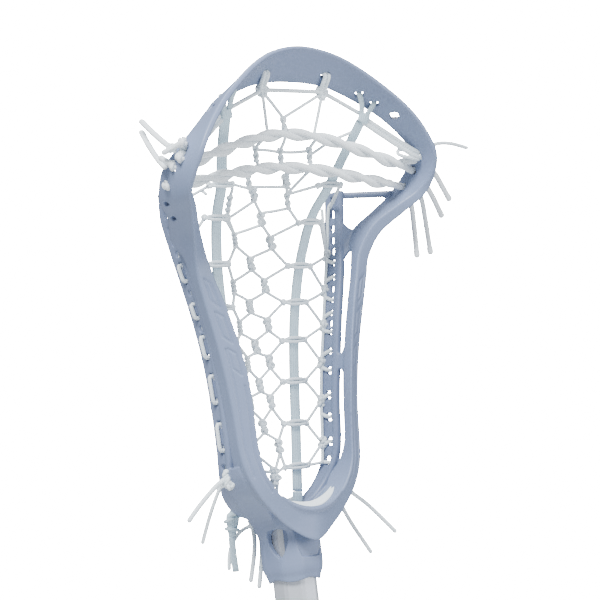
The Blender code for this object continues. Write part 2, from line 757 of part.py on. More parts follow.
def tube(name, route, radius, group, surface):
    """A round string along points given in the stick's metres."""
    curve = bpy.data.curves.new(name, "CURVE")
    curve.dimensions = "3D"
    curve.bevel_depth = radius
    curve.bevel_resolution = STRING_BEVEL
    curve.use_fill_caps = True
    spline = curve.splines.new("POLY")
    spline.points.add(len(route) - 1)
    for knot, place in zip(spline.points, route):
        knot.co = (*place, 1.0)
    made = bpy.data.objects.new(name, curve)
    group.objects.link(made)
    curve.materials.append(surface)


def whole_route(half):
    """A route across the head, from its right half given from the side to the middle."""
    return list(half) + [mirrored(p) for p in half[-2::-1]]


def twisted_pair(name, half, group, surface):
    """Two laces wound round each other from wall to wall."""
    centre = spaced_route(whole_route(half), LACE_POINT_SPACING)
    count = len(centre) - 1
    for strand, letter in enumerate("ab"):
        places = []
        for step, point in enumerate(centre):
            before = centre[max(step - 1, 0)]
            later = centre[min(step + 1, count)]
            along = (later - before).normalized()
            side = along.cross(Vector((0, 1, 0))).normalized()
            other = along.cross(side).normalized()
            angle = math.pi * strand + 2 * math.pi * LACE_TURNS * step / count
            swing = LACE_TWIST_RADIUS / MM
            places.append(point + (side * math.cos(angle) + other * math.sin(angle)) * swing)
        tube("%s_%s" % (name, letter), [head_point(p) for p in places], LACE_RADIUS, group, surface)


def strings(group, string, lace):
    """Everything laced across and along the head."""
    twisted_pair("upper_shooting_string", UPPER_SHOOTING, group, lace)
    twisted_pair("lower_shooting_string", LOWER_SHOOTING, group, lace)
    routes = (
        ("top_string", whole_route(TOP_STRING)),
        ("bottom_string", whole_route(BOTTOM_STRING)),
        ("right_side_string", SIDE_STRING),
        ("left_side_string", [mirrored(p) for p in SIDE_STRING]),
    )
    for name, points in routes:
        route = spaced_route(points, STRING_POINT_SPACING)
        tube(name, [head_point(p) for p in route], STRING_RADIUS, group, string)


def tails(group, string, lace, webbing):
    """The loose ends, each a round strand with a free end."""
    for name, diameter, points in TAILS:
        surface = lace if "shooting" in name else webbing if "runner" in name else string
        route = spaced_route(points, diameter * TAIL_POINT_SPACING)
        tube(name, [head_point(p) for p in route], diameter * MM / 2, group, surface)


def new_group(name):
    group = bpy.data.collections.new(name)
    bpy.context.scene.collection.children.link(group)
    return group


def main():
    for old in list(bpy.data.objects):
        bpy.data.objects.remove(old, do_unlink=True)
    group = new_group("lacrosse_stick")
    cutters = new_group("cutters")
    plastic = material("head_plastic", (0.46, 0.52, 0.62), 0.38)
    metal = material("shaft_metal", (0.60, 0.63, 0.68), 0.34, 0.85)
    foam = material("ball_stop_foam", (0.78, 0.82, 0.84), 0.8)
    webbing = material("runner_webbing", (0.62, 0.72, 0.78), 0.8)
    nylon = material("string_nylon", (0.74, 0.78, 0.80), 0.7)
    lace = material("shooting_lace", (0.78, 0.81, 0.82), 0.8)
    rubber = material("cap_rubber", (0.05, 0.05, 0.06), 0.75)
    steel = material("screw_steel", (0.55, 0.56, 0.58), 0.35, 1.0)
    shaft(group, cutters, metal)
    end_cap(group, rubber)
    head_frame(group, cutters, plastic)
    head_screw(group, steel)
    ball_stop(group, foam)
    runners(group, webbing)
    net(group, nylon)
    strings(group, nylon, lace)
    tails(group, nylon, lace, webbing)


main()
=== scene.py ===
import math

import bmesh
import bpy
import numpy as np
from mathutils import Matrix, Vector


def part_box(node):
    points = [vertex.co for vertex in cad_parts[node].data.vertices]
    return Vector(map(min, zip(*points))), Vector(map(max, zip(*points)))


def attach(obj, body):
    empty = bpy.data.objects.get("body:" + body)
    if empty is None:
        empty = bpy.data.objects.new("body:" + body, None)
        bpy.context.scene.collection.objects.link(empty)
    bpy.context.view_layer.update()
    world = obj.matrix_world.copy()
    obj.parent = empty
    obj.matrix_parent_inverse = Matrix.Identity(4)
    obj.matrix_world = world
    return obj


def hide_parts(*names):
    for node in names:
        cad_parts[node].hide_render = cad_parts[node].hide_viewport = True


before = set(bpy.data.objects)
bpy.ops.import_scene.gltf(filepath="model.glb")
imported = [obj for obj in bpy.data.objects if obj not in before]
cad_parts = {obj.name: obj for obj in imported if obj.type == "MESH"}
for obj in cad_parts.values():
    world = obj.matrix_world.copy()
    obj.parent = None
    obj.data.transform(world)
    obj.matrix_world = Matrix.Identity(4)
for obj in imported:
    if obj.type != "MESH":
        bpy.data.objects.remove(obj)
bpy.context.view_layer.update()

# The head's own measures are in millimetres: x to the side, y back from the shaft's axis,
# z up from the lower end of the socket.
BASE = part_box("head_frame")[0].z
MM = 0.001
RANDOM = np.random.default_rng(11)

SCOOP = (
    ((0, -57, 295.5), (0, -44.5, 276.5)),
    ((22, -58.5, 292), (23, -45.4, 274.6)),
    ((40, -61, 284), (39.4, -44.9, 270)),
    ((59, -64.5, 271), (55.4, -45.7, 262.8)),
    ((73, -66.5, 259), (65.4, -48.2, 255.8)),
    ((83, -67, 247), (76.4, -49.2, 246.8)),
    ((90, -66, 234), (86.4, -46.8, 237.6)),
    ((92, -60, 222), (90, -35.5, 227.3)),
)
SIDES = (
    ((89.5, -53, 212), (85.5, -51, 215), (85, -24.5, 215.6), (88.5, -24.5, 213.1)),
    ((81, -43.5, 203.5), (76.5, -42.5, 208), (76, -20, 208), (80, -20, 204.5)),
    ((71.5, -31.5, 193.5), (66, -31, 198.5), (67, -10, 197.5), (71, -10, 193.5)),
    ((66.5, -24.5, 181), (58, -25, 184), (60.5, -14.5, 184), (65, -12.5, 182)),
    ((64.5, -22.5, 170), (53.5, -24.6, 170), (56, -16, 170), (61.5, -12, 170)),
    ((60.5, -21.5, 155), (48.3, -25.4, 155), (50.5, -17, 155), (57.5, -11, 155)),
    ((55, -20.5, 135), (42.8, -26, 135), (45, -17, 135), (52, -10, 135)),
    ((50.7, -19.6, 115), (38.6, -26.2, 115), (41, -17, 115), (48, -9, 115)),
    ((47.8, -19, 95), (36.4, -24.8, 95), (39, -16, 95), (45.5, -8.5, 95)),
    ((46.5, -18.8, 77), (35, -23.5, 77), (37.5, -14.5, 77), (44, -8, 77)),
    ((44.2, -19.3, 64), (33.2, -23.7, 65), (36, -10, 66.5), (42, -7, 65)),
    ((38.5, -19.8, 52), (28.5, -23.9, 55), (31.5, -4.5, 58), (37, -4, 55)),
    ((30, -19.7, 41), (20.5, -23.5, 46), (21.5, -9.5, 50), (27, -8, 46)),
    ((16.5, -20, 29), (10.5, -23.8, 40.5), (10.5, -14, 45.5), (13, -8, 39)),
    ((0, -23, 21), (0, -24.2, 38.7), (0, -16, 43.5), (0, -10, 37)),
)
WALL = 3.4
BACK_RAIL = (
    ((63.5, 3.5, 222), (0.08, -1, 0)),
    ((62.8, 5, 208), (0.08, -1, 0)),
    ((60.4, 4.8, 196), (0.08, -1, 0)),
    ((58.2, 3.8, 184), (0.08, -1, 0)),
    ((55.5, 3.1, 172), (0.08, -1, 0)),
    ((49.6, 3, 148), (0.08, -1, 0)),
    ((45, 3.6, 124), (0.08, -1, 0)),
    ((41.7, 5.3, 100), (0.1, -1, 0)),
    ((40.2, 6.5, 78), (0.1, -0.99, 0)),
    ((38.5, 9.2, 64), (0.1, -0.98, 0.1)),
    ((34, 14, 53), (0.06, -0.99, 0.1)),
    ((25, 18, 44.5), (0, -1, 0)),
    ((13, 20.5, 39.5), (0, -1, 0)),
    ((0, 21.5, 38), (0, -1, 0)),
)
# Half section of the back rail: how far forward of its back edge, and half its thickness
RAIL_PROFILE = ((0, 0.8), (0.5, 1.3), (9.0, 1.3), (10, 2.1), (11.8, 2.3), (13, 1.9), (13.6, 0.9))
HOLE_FORWARD = 6.4
STRUT = ((86, -27.5, 216.8), (64.2, 0.5, 220.4))
SOCKET = (
    (0, 14.2, -14.2, 14.2, 7.8),
    (3, 14.6, -14.6, 14.6, 7.9),
    (9, 16.0, -16.0, 16.0, 8.0),
    (26, 16.2, -16.4, 16.0, 8.0),
    (33, 18.0, -18.5, 18.0, 8.5),
    (39, 19.0, -19.5, 21.0, 9.0),
    (41.5, 15.0, -16.0, 19.0, 8.0),
)
# Sides below the walls down to the socket: height, and the front and back of each plate
FAIRING = (
    (66, (43, -14), (40, -2)),
    (60, (41, -14), (38, 8)),
    (52, (35.5, -13), (32.5, 11)),
    (45, (27.5, -13), (26, 12.5)),
    (36, (18.8, -9.5), (18.8, 10)),
    (26, (15.2, -7), (15.2, 7)),
)
LACING_HOLES = (
    ((23.1, -49.8, 281.9), (0.3, 0.6, 0.75), (5, 3.6)),
    ((48.9, -49.6, 272.2), (0.5, 0.5, 0.7), (4.8, 3.6)),
    ((59, -50.6, 267.2), (0.5, 0.5, 0.7), (4.8, 3.6)),
    ((68, -56.5, 257), (0.6, 0.4, 0.6), (5.2, 4.6)),
    ((88.6, -52.8, 235.8), (0.9, 0.1, 0.35), (3.8, 6.4)),
    ((92, -45, 227.3), (1, 0, 0), (3.5, 3.8)),
    ((91, -36.5, 219), (1, 0.1, -0.1), (3.5, 3.8)),
    ((85.5, -29.5, 211.5), (0.8, 0.2, -0.5), (4.2, 2.4)),
    ((77.5, -25, 204.5), (0.8, 0.2, -0.5), (4.2, 2.4)),
)
# Holes along the flange of the back rail: height, length along the rail and width
RAIL_HOLES = (
    (217, 4.5, 3), (209, 4.4, 3), (200.5, 4.2, 3), (193.5, 3.8, 3), (187, 3.8, 3), (180.5, 3.8, 2.8),
    (172, 3.6, 2.8), (165, 3.6, 2.8), (159, 3.2, 2.8), (151, 3.4, 2.8), (145, 3.4, 2.8),
    (139.5, 3.4, 3), (129, 3.6, 3.2), (118.3, 4.4, 3.6), (103.5, 4.6, 3.8), (91.5, 4.6, 3.8),
    (77, 4.8, 4), (66, 4.8, 4),
)
RUNNER = (
    (51.5, -45.5, 255.5),
    (46, -33, 237),
    (41, -24, 222),
    (36, -11, 205),
    (31.6, -2, 181),
    (28.2, 2.5, 158),
    (26, 5.2, 136),
    (24.3, 7, 113),
    (22.3, 8, 89),
    (20, 8.8, 65),
    (18.5, 9.2, 51),
)
NET_MIDDLE = (
    (45, 14), (56, 2), (65, 7), (77, 10.5), (89, 12), (113, 11.5), (136, 9.7), (158, 7), (181, 2.5),
    (206, -7.5), (217, -18.5), (230, -30.5), (248, -37), (271.5, -45),
)
SIDE_STRING = (
    (58.8, 1.2, 200), (56.0, 1.0, 185), (51.6, 1.2, 165), (46.6, 1.0, 144), (42.6, 1.9, 123),
    (39.5, 2.8, 101), (37.7, 4.1, 77), (36.6, 5, 66),
)
UPPER_SHOOTING = ((84.0, -45, 228.6), (55, -44, 237.5), (24, -42, 245.5), (0, -41, 248))
LOWER_SHOOTING = ((82, -36.5, 219.8), (50, -36, 225), (22, -35.5, 229), (0, -35, 230))

# Loose ends: name, diameter, kind and route, all tied off or held inside the head
TAILS = (
    ("tail_top_string_right", 2.4, "cord",
     ((96.5, -49, 237.5), (104, -48, 241.5), (113, -46.5, 243.5), (124, -45.5, 243.5), (137, -44.5, 241.5))),
    ("tail_upper_shooting_right_a", 3.6, "lace",
     ((97, -46.5, 228.2), (103, -45.5, 228), (109, -44, 224.5), (115, -42, 218.5), (121, -40.5, 211.5))),
    ("tail_upper_shooting_right_b", 3.6, "lace",
     ((96.2, -42, 225.8), (100.5, -40.5, 224), (105, -39.5, 218.5), (110, -39, 211), (115, -38.4, 202))),
    ("tail_lower_shooting_right_a", 3.6, "lace",
     ((95.6, -36.8, 219.5), (101, -34.5, 219), (106.3, -32.5, 212), (108, -31.8, 198), (109.5, -31, 181.5))),
    ("tail_lower_shooting_right_b", 3.6, "lace",
     ((94.6, -33, 216.3), (98, -30.8, 214), (99.8, -30, 207), (99.8, -29.8, 194), (99.6, -29.5, 180))),
    ("tail_upper_shooting_left_a", 3.6, "lace",
     ((-95.6, -50.5, 236.5), (-96.5, -45, 241), (-96.5, -39, 246),
      (-95.8, -33, 250.8), (-94.8, -26.5, 256.2))),
    ("tail_upper_shooting_left_b", 3.6, "lace",
     ((-96.5, -42.5, 228.5), (-96, -37, 234), (-94.8, -31.5, 240),
      (-93, -26, 245.8), (-90.9, -20.8, 251.4))),
    ("tail_side_string_right_a", 2.6, "cord",
     ((43.5, -2, 52), (50, -3.5, 46), (58, -5, 39.5), (66, -6.5, 31.5), (75, -8, 22))),
    ("tail_side_string_right_b", 2.6, "cord",
     ((40.5, 1, 47), (44, 0, 38), (47.5, -1.5, 29.5), (52, -3, 21), (57.5, -4, 12))),
    ("tail_side_string_left_a", 2.9, "cord",
     ((-45.5, -2, 60.5), (-50, -1, 58), (-57, 0.2, 52.5), (-64, 1.2, 46.5), (-70.5, 1.6, 40.5))),
    ("tail_side_string_left_b", 2.4, "cord",
     ((-44.5, 3, 57), (-46.5, 5.5, 51), (-49.5, 7.5, 43.5), (-53, 8.6, 35.5), (-56.5, 9, 28))),
    ("tail_runner", 5.0, "strap",
     ((-17.5, 24, 41.5), (-17.6, 27.2, 38.2), (-18, 28.4, 31), (-18.6, 28.2, 21), (-18.5, 27.8, 9.5))),
    ("tail_bottom_string_a", 2.4, "cord",
     ((-1.5, 25.5, 36), (-5, 27, 34.5), (-10, 29.5, 32), (-14.5, 31.5, 27),
      (-17.5, 32.8, 20), (-18.5, 33.4, 12))),
    ("tail_bottom_string_b", 2.8, "cord",
     ((-5.4, 24.5, 34.5), (-6, 23, 28), (-8.5, 21.5, 20), (-11.8, 20.5, 12), (-15, 20, 4))),
    ("tail_bottom_string_c", 2.8, "cord",
     ((-1.6, 24.5, 31), (-2, 22.2, 26), (-4.2, 20.2, 18.5), (-7, 19.4, 10), (-10, 19.2, 0))),
)


# ---------------------------------------------------------------- numbers and curves

def unit(v):
    return v / np.maximum(np.linalg.norm(v, axis=-1, keepdims=True), 1e-9)


def mirror(points):
    flipped = np.array(points, dtype=float)
    flipped[..., 0] *= -1
    return flipped


def smooth(points, steps, cyclic=False):
    """A Catmull-Rom curve through rows of any shape."""
    p = np.array(points, dtype=float)
    count = len(p)
    rows = []
    for span in range(count if cyclic else count - 1):
        if cyclic:
            a, b, c, d = (p[(span + k) % count] for k in (-1, 0, 1, 2))
        else:
            a, b, c, d = (p[min(max(span + k, 0), count - 1)] for k in (-1, 0, 1, 2))
        for step in range(steps):
            t = step / steps
            rows.append(0.5 * (2 * b + (c - a) * t + (2 * a - 5 * b + 4 * c - d) * t * t
                               + (d - a + 3 * b - 3 * c) * t ** 3))
    if not cyclic:
        rows.append(p[-1])
    return np.array(rows)


def even(points, spacing, steps=16):
    """Points an even distance apart along a smooth curve."""
    fine = smooth(points, steps)
    lengths = np.concatenate([[0], np.cumsum(np.linalg.norm(np.diff(fine, axis=0), axis=1))])
    count = max(2, round(lengths[-1] / spacing))
    wanted = np.linspace(0, lengths[-1], count + 1)
    return np.stack([np.interp(wanted, lengths, fine[:, k]) for k in range(3)], axis=1)


def by_height(table, z):
    """Coordinates on a falling route at a height."""
    rows = smooth(table, 12)
    order = np.argsort(rows[:, 2])
    return np.array([np.interp(z, rows[order, 2], rows[order, k]) for k in (0, 1)] + [z])


def frames(route, hint=(0, 1, 0), closed=False):
    """Tangent, side and up at each place, turned as little as possible along the way."""
    p = np.array(route, dtype=float)
    if closed:
        tangent = unit(np.roll(p, -1, axis=0) - np.roll(p, 1, axis=0))
    else:
        tangent = unit(np.gradient(p, axis=0))
    side = np.cross(tangent[0], hint)
    if np.linalg.norm(side) < 0.05:
        side = np.cross(tangent[0], (1, 0, 0.3))
    sides = []
    for along in tangent:
        side = unit(side - along * np.dot(side, along))
        sides.append(side)
    sides = np.array(sides)
    return tangent, sides, np.cross(sides, tangent)


class Piece:
    """Rows of sections gathered into one mesh, with lengthwise and round-the-strand UVs."""

    def __init__(self):
        self.points = []
        self.faces = []
        self.uvs = []
        self.total = 0

    def skin(self, sections, closed=False, caps=True):
        sections = np.array(sections, dtype=float)
        rows, size = sections.shape[:2]
        middles = sections.mean(axis=1)
        steps = np.linalg.norm(np.diff(middles, axis=0), axis=1)
        along = np.concatenate([[0], np.cumsum(steps)])
        if closed:
            along = np.append(along, along[-1] + np.linalg.norm(middles[0] - middles[-1]))
        start = self.total
        self.points.append(sections.reshape(-1, 3))
        self.total += rows * size
        for row in range(rows if closed else rows - 1):
            later = (row + 1) % rows
            for k in range(size):
                n = (k + 1) % size
                a, b = start + row * size + k, start + row * size + n
                c, d = start + later * size + n, start + later * size + k
                self.faces.append((a, d, c, b))
                u0, u1 = along[row], along[row + 1]
                v0, v1 = k / size, (k + 1) / size
                self.uvs += [(u0, v0), (u1, v0), (u1, v1), (u0, v1)]
        if caps and not closed:
            self.faces.append(tuple(start + k for k in range(size)))
            self.uvs += [(0, k / size) for k in range(size)]
            last = start + (rows - 1) * size
            self.faces.append(tuple(last + k for k in reversed(range(size))))
            self.uvs += [(along[-1], k / size) for k in reversed(range(size))]

    def strand(self, route, radius, sides=10, flat=1.0, hint=(0, 1, 0), closed=False, dome=True, turn=0.0):
        """A round or flattened strand; flat is its depth along the hint as a share of its width."""
        route = np.array(route, dtype=float)
        tangent, side, up = frames(route, hint, closed)
        radius = np.broadcast_to(np.asarray(radius, dtype=float), (len(route),)).copy()
        if dome and not closed:
            ends = []
            for place, sign in ((0, -1), (len(route) - 1, 1)):
                rings = [(route[place] + sign * tangent[place] * radius[place] * flat * math.sin(a),
                          radius[place] * math.cos(a)) for a in (0.5, 0.95, 1.35)]
                ends.append(rings)
            first, last = ends[0][::-1], ends[1]
            route = np.concatenate([[p for p, r in first], route, [p for p, r in last]])
            radius = np.concatenate([[r for p, r in first], radius, [r for p, r in last]])
            pad = len(first)
            side = np.concatenate([np.repeat(side[:1], pad, 0), side, np.repeat(side[-1:], pad, 0)])
            up = np.concatenate([np.repeat(up[:1], pad, 0), up, np.repeat(up[-1:], pad, 0)])
        angles = np.linspace(0, 2 * np.pi, sides, endpoint=False) + turn
        ring = (side[:, None] * np.cos(angles)[None, :, None]
                + up[:, None] * np.sin(angles)[None, :, None] * flat)
        self.skin(route[:, None] + ring * radius[:, None, None], closed)

    def make(self, name, surface, slot, replaces=(), body="stick"):
        points = np.concatenate(self.points) * MM
        points[:, 2] += BASE
        mesh = bpy.data.meshes.new(name)
        mesh.from_pydata(points.tolist(), [], self.faces)
        layer = mesh.uv_layers.new(name="run")
        layer.data.foreach_set("uv", np.array(self.uvs, dtype=np.float32).ravel())
        mesh.validate()
        mesh.shade_smooth()
        mesh.materials.append(surface)
        made = bpy.data.objects.new(name, mesh)
        bpy.context.scene.collection.objects.link(made)
        tidy_normals(made)
        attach(made, body)
        if replaces:
            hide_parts(*replaces)
        return made


def tidy_normals(thing):
    shape = bmesh.new()
    shape.from_mesh(thing.data)
    bmesh.ops.recalc_face_normals(shape, faces=shape.faces)
    shape.to_mesh(thing.data)
    shape.free()


# ---------------------------------------------------------------- materials

class Nodes:
    """Short ways to wire one material."""

    def __init__(self, name, colour, roughness, **sockets):
        self.material = bpy.data.materials.new(name)
        self.material.use_nodes = True
        self.tree = self.material.node_tree
        self.shader = self.tree.nodes["Principled BSDF"]
        self.shader.inputs["Base Color"].default_value = (*colour, 1)
        self.shader.inputs["Roughness"].default_value = roughness
        for key, value in sockets.items():
            self.shader.inputs[key.replace("_", " ")].default_value = value

    def node(self, kind, **settings):
        made = self.tree.nodes.new(kind)
        for key, value in settings.items():
            setattr(made, key, value)
        return made

    def link(self, source, target):
        self.tree.links.new(source, target)

    def math(self, operation, a, b=0.0, c=0.0):
        made = self.node("ShaderNodeMath", operation=operation)
        for socket, value in zip(made.inputs, (a, b, c)):
            if isinstance(value, (int, float)):
                socket.default_value = value
            else:
                self.link(value, socket)
        return made.outputs[0]

    def noise(self, scale, detail=2.0, vector=None):
        made = self.node("ShaderNodeTexNoise")
        made.inputs["Scale"].default_value = scale
        made.inputs["Detail"].default_value = detail
        if vector is None:
            vector = self.node("ShaderNodeTexCoord").outputs["Object"]
        self.link(vector, made.inputs["Vector"])
        return made.outputs["Fac"]

    def bump(self, height, distance, strength=1.0):
        made = self.node("ShaderNodeBump")
        made.inputs["Distance"].default_value = distance
        made.inputs["Strength"].default_value = strength
        self.link(height, made.inputs["Height"])
        self.link(made.outputs["Normal"], self.shader.inputs["Normal"])

    def tint(self, factor, low, high):
        """The base colour runs from low to high with the factor."""
        made = self.node("ShaderNodeMix", data_type="RGBA")
        made.inputs[6].default_value = (*low, 1)
        made.inputs[7].default_value = (*high, 1)
        self.link(factor, made.inputs[0])
        self.link(made.outputs[2], self.shader.inputs["Base Color"])

    def rough(self, factor, low, high):
        made = self.node("ShaderNodeMapRange")
        made.inputs["To Min"].default_value = low
        made.inputs["To Max"].default_value = high
        self.link(factor, made.inputs["Value"])
        self.link(made.outputs[0], self.shader.inputs["Roughness"])


def plastic():
    m = Nodes("moulded nylon", (0.185, 0.235, 0.37), 0.42, Specular_IOR_Level=0.42)
    fine = m.noise(2600, 3)
    broad = m.noise(22, 3)
    m.tint(broad, (0.17, 0.22, 0.35), (0.195, 0.25, 0.385))
    m.rough(m.noise(120, 4), 0.36, 0.5)
    m.bump(fine, 0.00005, 0.5)
    return m.material


def braid(name, colour, groove_shade, pitch, carriers, depth, roughness=0.62):
    """Two sets of strands crossing round a cord, from its lengthwise and round UVs, with painted shade where
    the braid lies low.
    """
    m = Nodes(name, colour, roughness, Sheen_Weight=0.25, Subsurface_Weight=0.0)
    uv = m.node("ShaderNodeSeparateXYZ")
    m.link(m.node("ShaderNodeUVMap", uv_map="run").outputs[0], uv.inputs[0])
    along = m.math("DIVIDE", uv.outputs[0], pitch)
    round_turn = m.math("MULTIPLY", uv.outputs[1], carriers)
    one = m.math("ABSOLUTE", m.math("SINE", m.math("MULTIPLY", m.math("ADD", along, round_turn), math.pi)))
    two = m.math("ABSOLUTE",
                 m.math("SINE", m.math("MULTIPLY", m.math("SUBTRACT", along, round_turn), math.pi)))
    height = m.math("MAXIMUM", m.math("POWER", one, 1.5), m.math("POWER", two, 1.5))
    # Painted shade: the colour runs darker where the braid lies low between its strands, with some random
    # tone from the noise.
    m.tint(m.math("ADD", m.math("MULTIPLY", height, 0.7), m.math("MULTIPLY", m.noise(300), 0.3)),
           groove_shade, colour)
    m.bump(height, depth)
    return m.material


def webbing():
    m = Nodes("runner webbing", (0.55, 0.68, 0.75), 0.7, Sheen_Weight=0.3)
    uv = m.node("ShaderNodeSeparateXYZ")
    m.link(m.node("ShaderNodeUVMap", uv_map="run").outputs[0], uv.inputs[0])
    ribs = m.math("ABSOLUTE", m.math("SINE", m.math("MULTIPLY", uv.outputs[1], 22 * math.pi)))
    weave = m.math("ABSOLUTE", m.math("SINE", m.math("MULTIPLY", uv.outputs[0], math.pi / 0.8)))
    height = m.math("ADD", m.math("MULTIPLY", ribs, 0.7), m.math("MULTIPLY", weave, 0.3))
    # Painted shade: the colour runs darker in the low places between the ribs and across the weave, with
    # some random tone from the noise.
    m.tint(m.math("ADD", m.math("MULTIPLY", height, 0.7), m.math("MULTIPLY", m.noise(90), 0.3)),
           (0.45, 0.61, 0.71), (0.6, 0.77, 0.86))
    m.bump(height, 0.0002)
    return m.material


def foam():
    m = Nodes("closed-cell foam", (0.78, 0.86, 0.9), 0.8)
    cells = m.noise(1500, 4)
    m.tint(m.noise(160, 3), (0.72, 0.8, 0.85), (0.82, 0.89, 0.93))
    m.bump(cells, 0.0002, 0.6)
    return m.material


def metal():
    m = Nodes("satin aluminium", (0.62, 0.66, 0.73), 0.4, Metallic=0.55)
    stretch = m.node("ShaderNodeMapping")
    stretch.inputs["Scale"].default_value = (900, 900, 12)
    m.link(m.node("ShaderNodeTexCoord").outputs["Object"], stretch.inputs["Vector"])
    lines = m.noise(1, 3, stretch.outputs[0])
    m.rough(lines, 0.34, 0.46)
    m.bump(lines, 0.00002, 0.5)
    return m.material


def rubber():
    m = Nodes("black rubber", (0.03, 0.03, 0.034), 0.72)
    m.bump(m.noise(1800, 3), 0.00015, 0.6)
    m.rough(m.noise(60, 3), 0.62, 0.8)
    return m.material


def steel():
    m = Nodes("plated steel", (0.55, 0.56, 0.58), 0.3, Metallic=1.0)
    m.rough(m.noise(500, 4), 0.22, 0.4)
    return m.material


def plain(name, colour, roughness):
    m = Nodes(name, colour, roughness)
    m.bump(m.noise(40, 2), 0.0002, 0.1)
    return m.material


PLASTIC = plastic()
# Each braid's second colour is a painted shade for the low places of its weave.
CORD = braid("nylon cord", (0.86, 0.94, 0.98), (0.66, 0.78, 0.86), 1.5, 4, 0.00022)
FINE_CORD = braid("fine nylon cord", (0.84, 0.93, 0.98), (0.68, 0.79, 0.87), 0.9, 3, 0.0001)
LACE = braid("flat lace", (0.87, 0.93, 0.97), (0.73, 0.81, 0.87), 0.9, 9, 0.00016, 0.75)
STRAP = webbing()
FOAM = foam()
METAL = metal()
RUBBER = rubber()
STEEL = steel()
SURFACES = {"cord": CORD, "lace": LACE, "strap": STRAP}
SLOTS = {"cord": "string_nylon", "lace": "shooting_lace", "strap": "runner_webbing"}


# ---------------------------------------------------------------- camera and lights

def in_row(point):
    return Vector((point[0] * MM, point[1] * MM, BASE + point[2] * MM))


def camera():
    """The photograph's view: from the left and a little below, turned a few degrees."""
    turn, rise, roll = (math.radians(a) for a in (-43.0, -5.4, 6.93))
    away = Vector((math.sin(turn) * math.cos(rise), -math.cos(turn) * math.cos(rise), math.sin(rise)))
    right = Vector((math.cos(turn), math.sin(turn), 0))
    up = right.cross(-away)
    across = right * math.cos(roll) - up * math.sin(roll)
    upward = right * math.sin(roll) + up * math.cos(roll)
    data = bpy.data.cameras.new("camera")
    data.lens = 166.8
    data.sensor_width = 36
    data.clip_end = 20
    made = bpy.data.objects.new("camera", data)
    bpy.context.scene.collection.objects.link(made)
    turned = Matrix((across, upward, away)).transposed().to_4x4()
    made.matrix_world = Matrix.Translation(in_row((11.3, -20, 157.1)) + away * 1.5706) @ turned
    bpy.context.scene.camera = made


def area_light(name, place, target, size, power, colour=(1, 1, 1)):
    data = bpy.data.lights.new(name, "AREA")
    data.shape = "DISK"
    data.size = size
    data.energy = power
    data.color = colour
    made = bpy.data.objects.new(name, data)
    made.location = place
    made.rotation_euler = (Vector(target) - Vector(place)).to_track_quat("-Z", "Y").to_euler()
    bpy.context.scene.collection.objects.link(made)


def lights():
    world = bpy.data.worlds.new("studio")
    bpy.context.scene.world = world
    world.use_nodes = True
    tree = world.node_tree
    lit = tree.nodes["Background"]
    lit.inputs["Color"].default_value = (0.93, 0.96, 1.0, 1)
    lit.inputs["Strength"].default_value = 0.42
    seen = tree.nodes.new("ShaderNodeBackground")
    seen.inputs["Color"].default_value = (1, 1, 1, 1)
    seen.inputs["Strength"].default_value = 60.0
    path = tree.nodes.new("ShaderNodeLightPath")
    mix = tree.nodes.new("ShaderNodeMixShader")
    tree.links.new(path.outputs["Is Camera Ray"], mix.inputs[0])
    tree.links.new(lit.outputs[0], mix.inputs[1])
    tree.links.new(seen.outputs[0], mix.inputs[2])
    tree.links.new(mix.outputs[0], tree.nodes["World Output"].inputs["Surface"])
    middle = in_row((0, -10, 150))
    area_light("key", middle + Vector((-1.3, -0.9, 1.7)), middle, 0.9, 128)
    area_light("fill", middle + Vector((0.9, -1.9, 0.4)), middle, 1.4, 30, (0.97, 0.98, 1))
    area_light("top", middle + Vector((0.3, 0.3, 1.9)), middle, 1.2, 26)


def floor():
    data = bpy.data.meshes.new("floor")
    reach = 3.0
    data.from_pydata([(-reach, -reach, 0), (reach, -reach, 0), (reach, reach, 0), (-reach, reach, 0)], [],
                     [(0, 1, 2, 3)])
    data.materials.append(plain("pale floor", (0.86, 0.87, 0.88), 0.8))
    made = bpy.data.objects.new("floor", data)
    made.location = (0, 0, -0.0005)
    bpy.context.scene.collection.objects.link(made)


# ---------------------------------------------------------------- loose ends

def loose_ends():
    for name, width, kind, points in TAILS:
        radius = width / 2
        route = even(points, max(1.2, width / 2))
        piece = Piece()
        if kind == "strap":
            strap(piece, route, width, 1.3)
        elif kind == "lace":
            grow = np.ones(len(route)) * radius * 1.1
            grow[-2:] *= (1.03, 0.96)
            piece.strand(route, grow, 14, 0.78)
            tip = even(route[-4:], 0.8)[-4:]
            piece.strand(tip, radius * 1.14, 14, 0.82)
        else:
            piece.strand(route, radius, 12)
        made = piece.make(name + "_fine", SURFACES[kind], SLOTS[kind], (name,))


# ---------------------------------------------------------------- head

def rounded(corners, radius):
    """Points round a section with any number of corners, each corner eased."""
    points = []
    count = len(corners)
    for k in range(count):
        here, before, after = corners[k], corners[k - 1], corners[(k + 1) % count]
        first = before - here
        second = after - here
        reach_one = min(radius, 0.42 * np.linalg.norm(first))
        reach_two = min(radius, 0.42 * np.linalg.norm(second))
        start = here + unit(first) * reach_one
        end = here + unit(second) * reach_two
        points += [start, 0.25 * start + 0.5 * here + 0.25 * end, end]
        following = corners[(k + 1) % count]
        points.append((end + following
                       + unit(here - following) * min(radius, 0.42 * np.linalg.norm(second))) / 2)
    return points


def ring_corners():
    half = []
    rows = [(np.array(front, float), np.array(back, float)) for front, back in SCOOP]
    fronts = [front for front, back in rows] + [np.array(SIDES[0][0], float)]
    for place, (front, back) in enumerate(rows):
        tangent = np.array((1.0, 0, 0)) if place == 0 else unit(fronts[place + 1] - fronts[place - 1])
        wall = unit(np.cross(tangent, back - front)) * WALL
        half.append([front, front - wall, back, back + wall])
    half += [[np.array(p, float) for p in station] for station in SIDES]
    half = np.array(half)
    return np.concatenate([half, mirror(half[1:-1])[::-1]])


